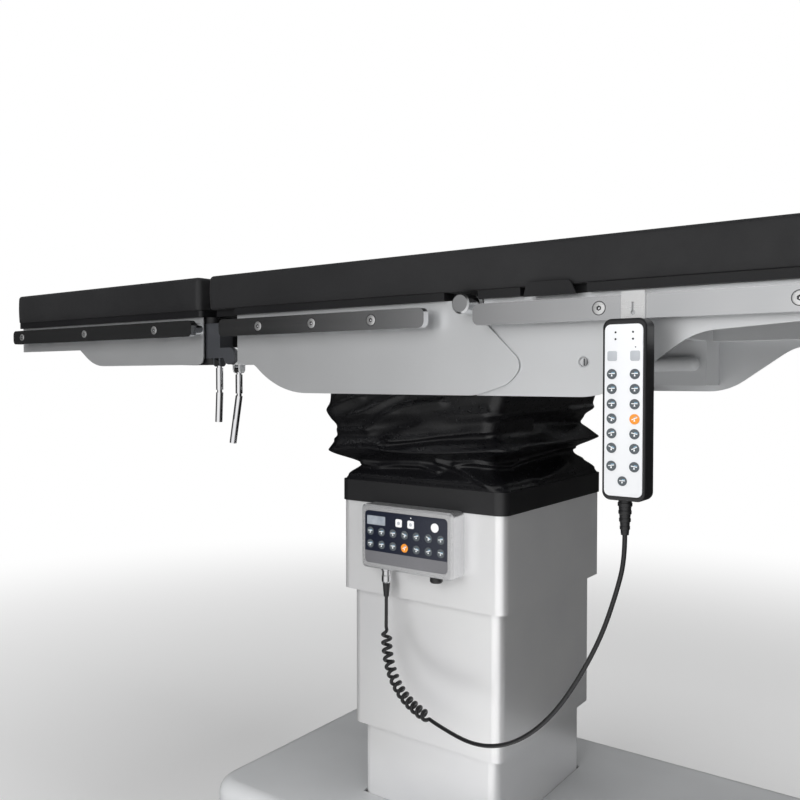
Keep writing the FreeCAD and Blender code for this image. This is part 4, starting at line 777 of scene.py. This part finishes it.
def tableSign(place, size, tilt, front, name):
    """a generic sign of a table top, with its pad, on a foot: the white pieces, then the blue"""
    top = signBar(place, size, *signLook["top"], tilt, front, name + "Top")
    pad = signBar(place, size, *signLook["pad"], tilt, front, name + "Pad")
    half = size * signLook["footHalf"]
    foot = box((place[0] - half, front - signLook["thick"], place[1] - size * signLook["footLow"]),
               (place[0] + half, front, place[1] - size * signLook["footTop"]), name + "Foot")
    editing(foot)
    neckFrom = place[1] - size * signLook["neckFrom"]
    pick(foot, lambda v: v.co.z / mm > neckFrom, "VERT")
    centre = (place[0] * mm, front * mm, place[1] * mm)
    bpy.ops.transform.resize(value=(signLook["neck"], 1, 1), center_override=centre)
    bpy.ops.object.mode_set(mode="OBJECT")
    return [top, foot], [pad]


def makeKeys(look, sheetFront, stem):
    """rows of round keys with their signs: plain caps, orange caps, white and blue sign pieces"""
    caps, orange, signs, pads = [], [], [], []
    for row, z in enumerate(look["keyZ"]):
        for column, x in enumerate(look["keyX"]):
            cap = keyCap((x, z), look["keyRadius"], sheetFront, look["keyDepth"],
                         f"{stem}Cap{row}{column}")
            (orange if (column, row) == look["orangeKey"] else caps).append(cap)
            white, blue = tableSign((x, z), look["signSize"], look["tilts"][row][column],
                                    sheetFront - look["signLift"], f"{stem}Sign{row}{column}")
            signs += white
            pads += blue
    return caps, orange, signs, pads


def makeSquare(look, x, sheetFront, name):
    half, z = look["squareSize"] / 2, look["squareZ"]
    return roundedPlate(name, (x - half, x + half), (z - half, z + half),
                        sheetFront - look["keyDepth"], look["keyDepth"], look["squareCorner"])


def makePanel():
    sheetFront = panelLook["front"] - sheetThick
    sheet = roundedPlate("panelSheet", panelLook["sheetX"], panelLook["sheetZ"], sheetFront,
                         sheetThick, panelLook["sheetCorner"])
    editing(sheet)
    bpy.ops.mesh.select_all(action="SELECT")
    bpy.ops.mesh.bisect(plane_co=(0, 0, panelLook["stripTop"] * mm), plane_no=(0, 0, 1))
    bpy.ops.object.mode_set(mode="OBJECT")
    dressed(sheet, "membraneNavy")
    sheet.data.materials.append(finishes["membraneGrey"])
    for face in sheet.data.polygons:
        if face.center.z < panelLook["stripTop"] * mm:
            face.material_index = 1
    smoothed(sheet)
    caps, orange, signs, pads = makeKeys(panelLook, sheetFront, "panel")
    whites = []
    for number, x in enumerate(panelLook["squareX"]):
        whites.append(makeSquare(panelLook, x, sheetFront, f"square{number}"))
        ring = drum((x, sheetFront - panelLook["signLift"], panelLook["squareZ"]),
                    panelLook["ringRadius"], panelLook["ringDepth"], "Y", f"squareRing{number}", 32)
        editing(ring)
        pick(ring, lambda f: f.normal.y < -0.9)
        stepFace(panelLook["ringSteps"], -1)
        bpy.ops.object.mode_set(mode="OBJECT")
        dressed(ring, "keyPale")
        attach(ring, "column_top")
        smoothed(ring)
    whites.append(keyCap(panelLook["roundWhite"], panelLook["roundRadius"], sheetFront,
                         panelLook["keyDepth"], "roundWhite"))
    screen = roundedPlate("panelScreen", panelLook["screenX"], panelLook["screenZ"],
                          sheetFront - panelLook["screenDepth"], panelLook["screenDepth"],
                          panelLook["screenCorner"], panelLook["screenEdge"])
    x, z = panelLook["lamp"]
    lamp = drum((x, sheetFront - panelLook["lampLift"], z), panelLook["lampRadius"],
                panelLook["lampDepth"], "Y", "panelLamp", 20)
    dressAll(((caps, "panelKeys", "keyGrey", "panel_sheet"),
              (orange, "panelOrangeKey", "keyOrange", "panel_sheet"),
              (whites, "panelWhiteKeys", "keyWhite", "panel_sheet"),
              (signs, "panelSigns", "markWhite", "panel_sheet"),
              (pads, "panelSignPads", "markBlue", "panel_sheet"),
              ([screen], "panelScreen", "screenGrey", "panel_sheet"),
              ([lamp], "panelLamp", "markWhite", "panel_sheet")), "column_top")
    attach(sheet, "column_top")
    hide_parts("panel_keys")


makePanel()
print("panel made")


# ---- handset ----
handsetLook = {
    "front": -305.0, "sheetX": (337.7, 377.6), "sheetZ": (675.4, 849.5), "sheetCorner": 6.0,
    "keyX": (345.5, 369.5), "keyZ": [799.2, 784.2, 769.0, 754.0, 739.0, 724.2, 705.9],
    "keyRadius": 5.2, "centreKey": (357.2, 691.0), "orangeKey": (1, 3),
    "squareX": (345.7, 369.6), "squareZ": 817.6, "squareSize": 10.0,
    "keyDepth": 0.5, "signSize": 6.4, "signLift": 0.56, "squareCorner": 1.8,
    "centreRadius": 4.9, "centreSign": 5.8, "lampDepth": 0.4, "lampLift": 0.05,
    # place along X, height and radius of each little lamp
    "lamps": [(349.1, 841.4, 1.05), (349.1, 834.5, 1.05), (367.3, 841.4, 1.05),
              (367.3, 834.5, 1.05), (370.0, 826.2, 0.6)],
    "tilts": [(0, 0), (0, 0), (0, 0), (22, -22), (-12, 12), (28, -26), (-8, 8)],
    "ribs": 4, "ribTop": 666.0, "ribLow": 642.0, "ribRadius": (7.4, 5.2), "ribX": 355.5,
    "ribY": -293.5, "ribDeep": 4.6, "ribBevel": 1.1,
}


def makeHandset():
    sheetFront = handsetLook["front"] - sheetThick
    sheet = roundedPlate("handsetSheet", handsetLook["sheetX"], handsetLook["sheetZ"],
                         sheetFront, sheetThick, handsetLook["sheetCorner"])
    dressed(sheet, "membraneWhite")
    smoothed(sheet)
    caps, orange, signs, pads = makeKeys(handsetLook, sheetFront, "handset")
    caps.append(keyCap(handsetLook["centreKey"], handsetLook["centreRadius"], sheetFront,
                       handsetLook["keyDepth"], "capCentre"))
    white, blue = tableSign(handsetLook["centreKey"], handsetLook["centreSign"], 0,
                            sheetFront - handsetLook["signLift"], "markCentre")
    signs += white
    pads += blue
    squares = [makeSquare(handsetLook, x, sheetFront, f"plate{number}")
               for number, x in enumerate(handsetLook["squareX"])]
    lamps = [drum((x, sheetFront - handsetLook["lampLift"], z), radius, handsetLook["lampDepth"],
                  "Y", f"lamp{number}", 20)
             for number, (x, z, radius) in enumerate(handsetLook["lamps"])]
    dressAll(((caps, "handsetKeys", "keyGrey", "handset_sheet"),
              (orange, "handsetOrangeKey", "keyOrange", "handset_sheet"),
              (squares, "handsetSquareKeys", "keyPale", "handset_sheet"),
              (signs, "handsetSigns", "markWhite", "handset_sheet"),
              (pads, "handsetSignPads", "markBlue", "handset_sheet"),
              (lamps, "handsetLamps", "lampDarkAndShade", "handset_sheet")), "back")
    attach(sheet, "back")
    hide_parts("handset_keys")
    rings = []
    for number in range(handsetLook["ribs"]):
        share = number / (handsetLook["ribs"] - 1)
        z = handsetLook["ribTop"] + (handsetLook["ribLow"] - handsetLook["ribTop"]) * share
        wide, narrow = handsetLook["ribRadius"]
        ring = drum((handsetLook["ribX"], handsetLook["ribY"], z),
                    wide + (narrow - wide) * share, handsetLook["ribDeep"], "Z",
                    f"rib{number}", 36)
        editing(ring)
        pick(ring, lambda e: abs(e.verts[0].co.z - e.verts[1].co.z) < 1e-6, "EDGE")
        bpy.ops.mesh.bevel(offset=handsetLook["ribBevel"] * mm, segments=3, affect="EDGES")
        bpy.ops.object.mode_set(mode="OBJECT")
        rings.append(ring)
    ribs = joined(rings, "handsetReliefRibs")
    smoothed(ribs, 60)
    dressed(ribs, "casePlastic")
    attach(ribs, "back")


makeHandset()
print("handset made")


# ---- lock faces in the back covers ----
lockLook = {"x": 289.0, "z": 813.0, "face": 245.1, "radius": 5.6, "deep": 0.9, "slot": (1.5, 8.2),
            "steps": ((0.7, 0.35), (1.1, -0.25)), "slotProud": 0.12, "slotDeep": 0.6,
            "slotRound": 0.6}


def makeLock(side):
    """a slotted cam in the cover's recess, its slot a dark bar of painted shade on the cam's face:
    side is -1 on the handset's side, 1 on the far side
    """
    y = side * lockLook["face"]
    place = "Left" if side < 0 else "Right"
    cam = drum((lockLook["x"], y, lockLook["z"]), lockLook["radius"], lockLook["deep"] * 2, "Y",
               "cam", 48)
    editing(cam)
    pick(cam, lambda f: f.normal.y * side > 0.9)
    stepFace(lockLook["steps"], side)
    bpy.ops.object.mode_set(mode="OBJECT")
    smoothed(cam)
    cam = dressed(named(cam, f"lockCam{place}"), "railSteel")
    # the slot is no cut: a dark bar stands on the face, painted shade where the slot would be sunk
    wide, high = lockLook["slot"]
    outer = y + side * (lockLook["deep"] + lockLook["slotProud"])
    low, top = sorted((outer, outer - side * lockLook["slotDeep"]))
    slot = box((lockLook["x"] - wide / 2, low, lockLook["z"] - high / 2),
               (lockLook["x"] + wide / 2, top, lockLook["z"] + high / 2), "slot")
    editing(slot)
    pick(slot, lambda e: abs((e.verts[0].co - e.verts[1].co).normalized().y) > 0.9, "EDGE")
    bpy.ops.mesh.bevel(offset=lockLook["slotRound"] * mm, segments=3, affect="EDGES")
    bpy.ops.object.mode_set(mode="OBJECT")
    slot = dressed(named(slot, f"lockSlotShade{place}"), "lampDarkAndShade")
    for piece in (cam, slot):
        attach(piece, "back")


makeLock(-1)
makeLock(1)
print("locks made")


# ---- screw heads of the side rails ----
screwLook = {
    "face": 275.0, "headRadius": 6.6, "proud": 0.4, "bevel": 0.5, "grooveRadius": 7.6,
    "socketRadius": 2.9, "pinRadius": 1.5, "sunk": 0.3, "grooveSunk": 0.45, "grooveDeep": 0.5,
    "socketDeep": 0.16, "pinSunk": 0.8, "pinFlat": 0.5,
    # the rail whose middle height the screws keep, their places along it and the sides
    "rows": {"seat": ("seat_rails", (-197, -94, 9), (-1, 1)),
             "back": ("back_rails", (318, 514, 710), (-1, 1)),
             "leg_left": ("leg_rail_left", (-826, -625, -433), (-1,)),
             "leg_right": ("leg_rail_right", (-826, -625, -433), (1,))},
}


def makeScrew(x, side, z, name):
    face = side * screwLook["face"]
    head = drum((x, face - side * screwLook["sunk"], z), screwLook["headRadius"],
                (screwLook["proud"] + screwLook["sunk"]) * 2, "Y", f"{name}Head", 40)
    editing(head)
    pick(head, lambda f: f.normal.y * side > 0.9)
    bpy.ops.mesh.bevel(offset=screwLook["bevel"] * mm, segments=4, affect="EDGES")
    bpy.ops.object.mode_set(mode="OBJECT")
    # the groove round the head and the hexagon of the socket are dark discs: painted shade where they
    # are sunk
    groove = drum((x, face - side * screwLook["grooveSunk"], z), screwLook["grooveRadius"],
                  screwLook["grooveDeep"], "Y", f"{name}Groove", 40)
    socket = drum((x, face + side * screwLook["proud"], z), screwLook["socketRadius"],
                  screwLook["socketDeep"], "Y", f"{name}Socket", 6)
    deselectAll()
    bpy.ops.mesh.primitive_uv_sphere_add(
        segments=20, ring_count=12, radius=screwLook["pinRadius"] * mm,
        location=(x * mm, (face + side * screwLook["proud"] * screwLook["pinSunk"]) * mm, z * mm))
    pin = named(bpy.context.object, f"{name}Pin")
    pin.scale = (1, screwLook["pinFlat"], 1)
    settle(pin)
    return head, [groove, socket], pin


def makeScrews():
    for body, (rail, places, sides) in screwLook["rows"].items():
        low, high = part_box(rail)
        z = (low[2] + high[2]) / 2 / mm
        heads, shadeDiscs, pins = [], [], []
        for side in sides:
            for number, x in enumerate(places):
                head, dark, pin = makeScrew(x, side, z, f"screw{side + 1}{number}")
                heads.append(head)
                shadeDiscs += dark
                pins.append(pin)
        # the groove and socket discs are dressed dark as painted shade in the recesses
        dressAll(((heads, f"railScrewHeads_{body}", "hookSteel", "rail_steel"),
                  (shadeDiscs, f"railScrewRecessShade_{body}", "lampDarkAndShade", "plate_black"),
                  (pins, f"railScrewPins_{body}", "polishedChrome", "bright_pin")), body)


makeScrews()
print("screws made")


# ---- finishes of the solids ----
nodeFinish = {
    "base_chassis": "darkPaint", "base_cover": "basePaint", "floor_feet": "footBlack",
    "lift_post": "postPaint", "cover_": "columnSteel", "column_head": "darkPaint",
    "bellows_band": "bandBlack", "bellows_": "sleeveRubber", "panel_housing": "panelSilver",
    "panel_keys": "membraneNavy", "spare_socket": "casePlastic", "cord_plug": "plugShell",
    "cord_": "cordRubber", "tilt_block": "darkPaint", "carriage": "framePaint",
    "seat_frame": "framePaint", "seat_covers": "coverSteel", "seat_plate": "plateBlack",
    "seat_rails": "railSteel", "back_pivots": "railSteel", "back_frame": "framePaint",
    "back_covers": "coverSteel", "back_plate": "plateBlack", "back_rails": "railSteel",
    "handset_case": "casePlastic", "handset_keys": "membraneWhite", "handset_hook": "hookSteel",
    "head_frame": "plateBlack", "caster_fork": "polishedChrome", "caster_wheel": "tyreGrey",
    "leg_frame": "plateBlack", "leg_cover": "coverSteel", "leg_rail": "railSteel",
    "leg_knuckle": "darkPaint", "leg_lever": "polishedChrome", "seat_lever": "polishedChrome",
    "seat_mattress": "padCloth", "back_mattress": "padCloth", "head_mattress": "padCloth",
    "leg_mattress": "padCloth", "mattress_bend": "padCloth",
}


def dressSolids():
    for name, item in nodes.items():
        fitting = [key for key in nodeFinish if name.startswith(key)]
        key = max(fitting, key=len)
        item.data.materials.clear()
        item.data.materials.append(finishes[nodeFinish[key]])


dressSolids()
print("solids dressed")


# ---- floor, light and background ----
roomLook = {
    "floor": (0.88, 0.88, 0.88), "fadeFrom": 0.9, "fadeTo": 3.0, "floorSize": 40,
    "floorRough": 0.8, "floorGloss": 0.1,
    # the light that metal mirrors: dark from the foot end and behind, white from in front
    "toward": (0.30, -0.95, 0.0), "darkUpTo": 0.44, "whiteFrom": 0.97, "dark": 0.03,
    # the soft light on everything, weakest and strongest
    "softUpTo": 0.25, "softFrom": 1.0, "soft": (0.13, 1.10),
    # place, what it points at, size and power of each lamp
    "lamps": {
        "frontLamp": ((-0.1, -2.6, 1.7), (0.0, 0.0, 0.6), 1.8, 40.0),
        "topLamp": ((0.1, 0.0, 3.0), (0.1, 0.0, 0.0), 2.8, 62.0)},
}


def addMath(tree, operation, first, second):
    node = tree.nodes.new("ShaderNodeMath")
    node.operation = operation
    node.use_clamp = True
    tree.links.new(first, node.inputs[0])
    tree.links.new(second, node.inputs[1])
    return node.outputs["Value"]


def addShade(tree, direction, low, high, least, most):
    """brightness by direction: least away from the front, most in front"""
    facing = tree.nodes.new("ShaderNodeVectorMath")
    facing.operation = "DOT_PRODUCT"
    facing.inputs[1].default_value = roomLook["toward"]
    tree.links.new(direction, facing.inputs[0])
    ramp = tree.nodes.new("ShaderNodeMapRange")
    ramp.interpolation_type = "SMOOTHSTEP"
    for socket, value in (("From Min", low), ("From Max", high), ("To Min", least),
                          ("To Max", most)):
        ramp.inputs[socket].default_value = value
    tree.links.new(facing.outputs["Value"], ramp.inputs["Value"])
    return ramp.outputs["Result"]


def addMirrorShade(tree, direction):
    return addShade(tree, direction, roomLook["darkUpTo"], roomLook["whiteFrom"],
                    roomLook["dark"], 1.0)


def makeFloor():
    """pale floor with the object's shadow, which turns into the white background further out"""
    deselectAll()
    bpy.ops.mesh.primitive_plane_add(size=roomLook["floorSize"], location=(0, 0, 0))
    floor = named(bpy.context.object, "floor")
    material = bpy.data.materials.new("floorPale")
    material.use_nodes = True
    tree = material.node_tree
    link = tree.links.new
    shader = tree.nodes["Principled BSDF"]
    shader.inputs["Base Color"].default_value = (*roomLook["floor"], 1)
    shader.inputs["Roughness"].default_value = roomLook["floorRough"]
    shader.inputs["Specular IOR Level"].default_value = roomLook["floorGloss"]
    place = addNode(material, "ShaderNodeTexCoord")
    reach = addNode(material, "ShaderNodeVectorMath", operation="LENGTH")
    link(place.outputs["Object"], reach.inputs[0])
    fade = addNode(material, "ShaderNodeMapRange", interpolation_type="SMOOTHSTEP",
                   From_Min=roomLook["fadeFrom"], From_Max=roomLook["fadeTo"])
    link(reach.outputs["Value"], fade.inputs["Value"])
    rays = addNode(material, "ShaderNodeLightPath")
    mirrored = addMath(tree, "ADD", rays.outputs["Is Glossy Ray"],
                       rays.outputs["Is Transmission Ray"])
    far = addMath(tree, "MULTIPLY", fade.outputs["Result"], rays.outputs["Is Camera Ray"])
    share = addMath(tree, "MAXIMUM", far, mirrored)
    outward = addNode(material, "ShaderNodeVectorMath", operation="NORMALIZE")
    link(place.outputs["Object"], outward.inputs[0])
    shade = addMirrorShade(tree, outward.outputs["Vector"])
    strength = addMath(tree, "MAXIMUM", rays.outputs["Is Camera Ray"], shade)
    plain = addNode(material, "ShaderNodeEmission", Color=(1, 1, 1, 1))
    link(strength, plain.inputs["Strength"])
    mix = addNode(material, "ShaderNodeMixShader")
    link(share, mix.inputs["Fac"])
    link(shader.outputs["BSDF"], mix.inputs[1])
    link(plain.outputs["Emission"], mix.inputs[2])
    link(mix.outputs["Shader"], tree.nodes["Material Output"].inputs["Surface"])
    floor.data.materials.append(material)


def makeLamps():
    for name, (place, aim, size, power) in roomLook["lamps"].items():
        bpy.ops.object.light_add(type="AREA", location=place)
        lamp = bpy.context.object
        lamp.name = name
        lamp.data.size = size
        lamp.data.energy = power
        lamp.rotation_euler = (Vector(aim) - Vector(place)).to_track_quat("-Z", "Y").to_euler()
        lamp.visible_glossy = False


def makeWorld():
    """white behind the object; metal mirrors that white, less so at its foot end and behind"""
    world = bpy.data.worlds.new("studio")
    scene.world = world
    world.use_nodes = True
    tree = world.node_tree
    tree.nodes.clear()
    link = tree.links.new
    coordinate = tree.nodes.new("ShaderNodeTexCoord")
    rays = tree.nodes.new("ShaderNodeLightPath")
    mirrored = addMath(tree, "ADD", rays.outputs["Is Glossy Ray"],
                       rays.outputs["Is Transmission Ray"])
    least, most = roomLook["soft"]
    direction = coordinate.outputs["Generated"]
    soft = addShade(tree, direction, roomLook["softUpTo"], roomLook["softFrom"], least, most)
    # strength of each light and the rays that see it instead of the one before
    layers = ((soft, None), (addMirrorShade(tree, direction), mirrored),
              (None, rays.outputs["Is Camera Ray"]))
    shader = None
    for strength, share in layers:
        light = tree.nodes.new("ShaderNodeBackground")
        light.inputs["Color"].default_value = (1, 1, 1, 1)
        if strength:
            link(strength, light.inputs["Strength"])
        if shader is None:
            shader = light.outputs["Background"]
            continue
        mix = tree.nodes.new("ShaderNodeMixShader")
        link(share, mix.inputs["Fac"])
        link(shader, mix.inputs[1])
        link(light.outputs["Background"], mix.inputs[2])
        shader = mix.outputs["Shader"]
    out = tree.nodes.new("ShaderNodeOutputWorld")
    link(shader, out.inputs["Surface"])


makeFloor()
makeLamps()
makeWorld()
deselectAll()
print("room lit")
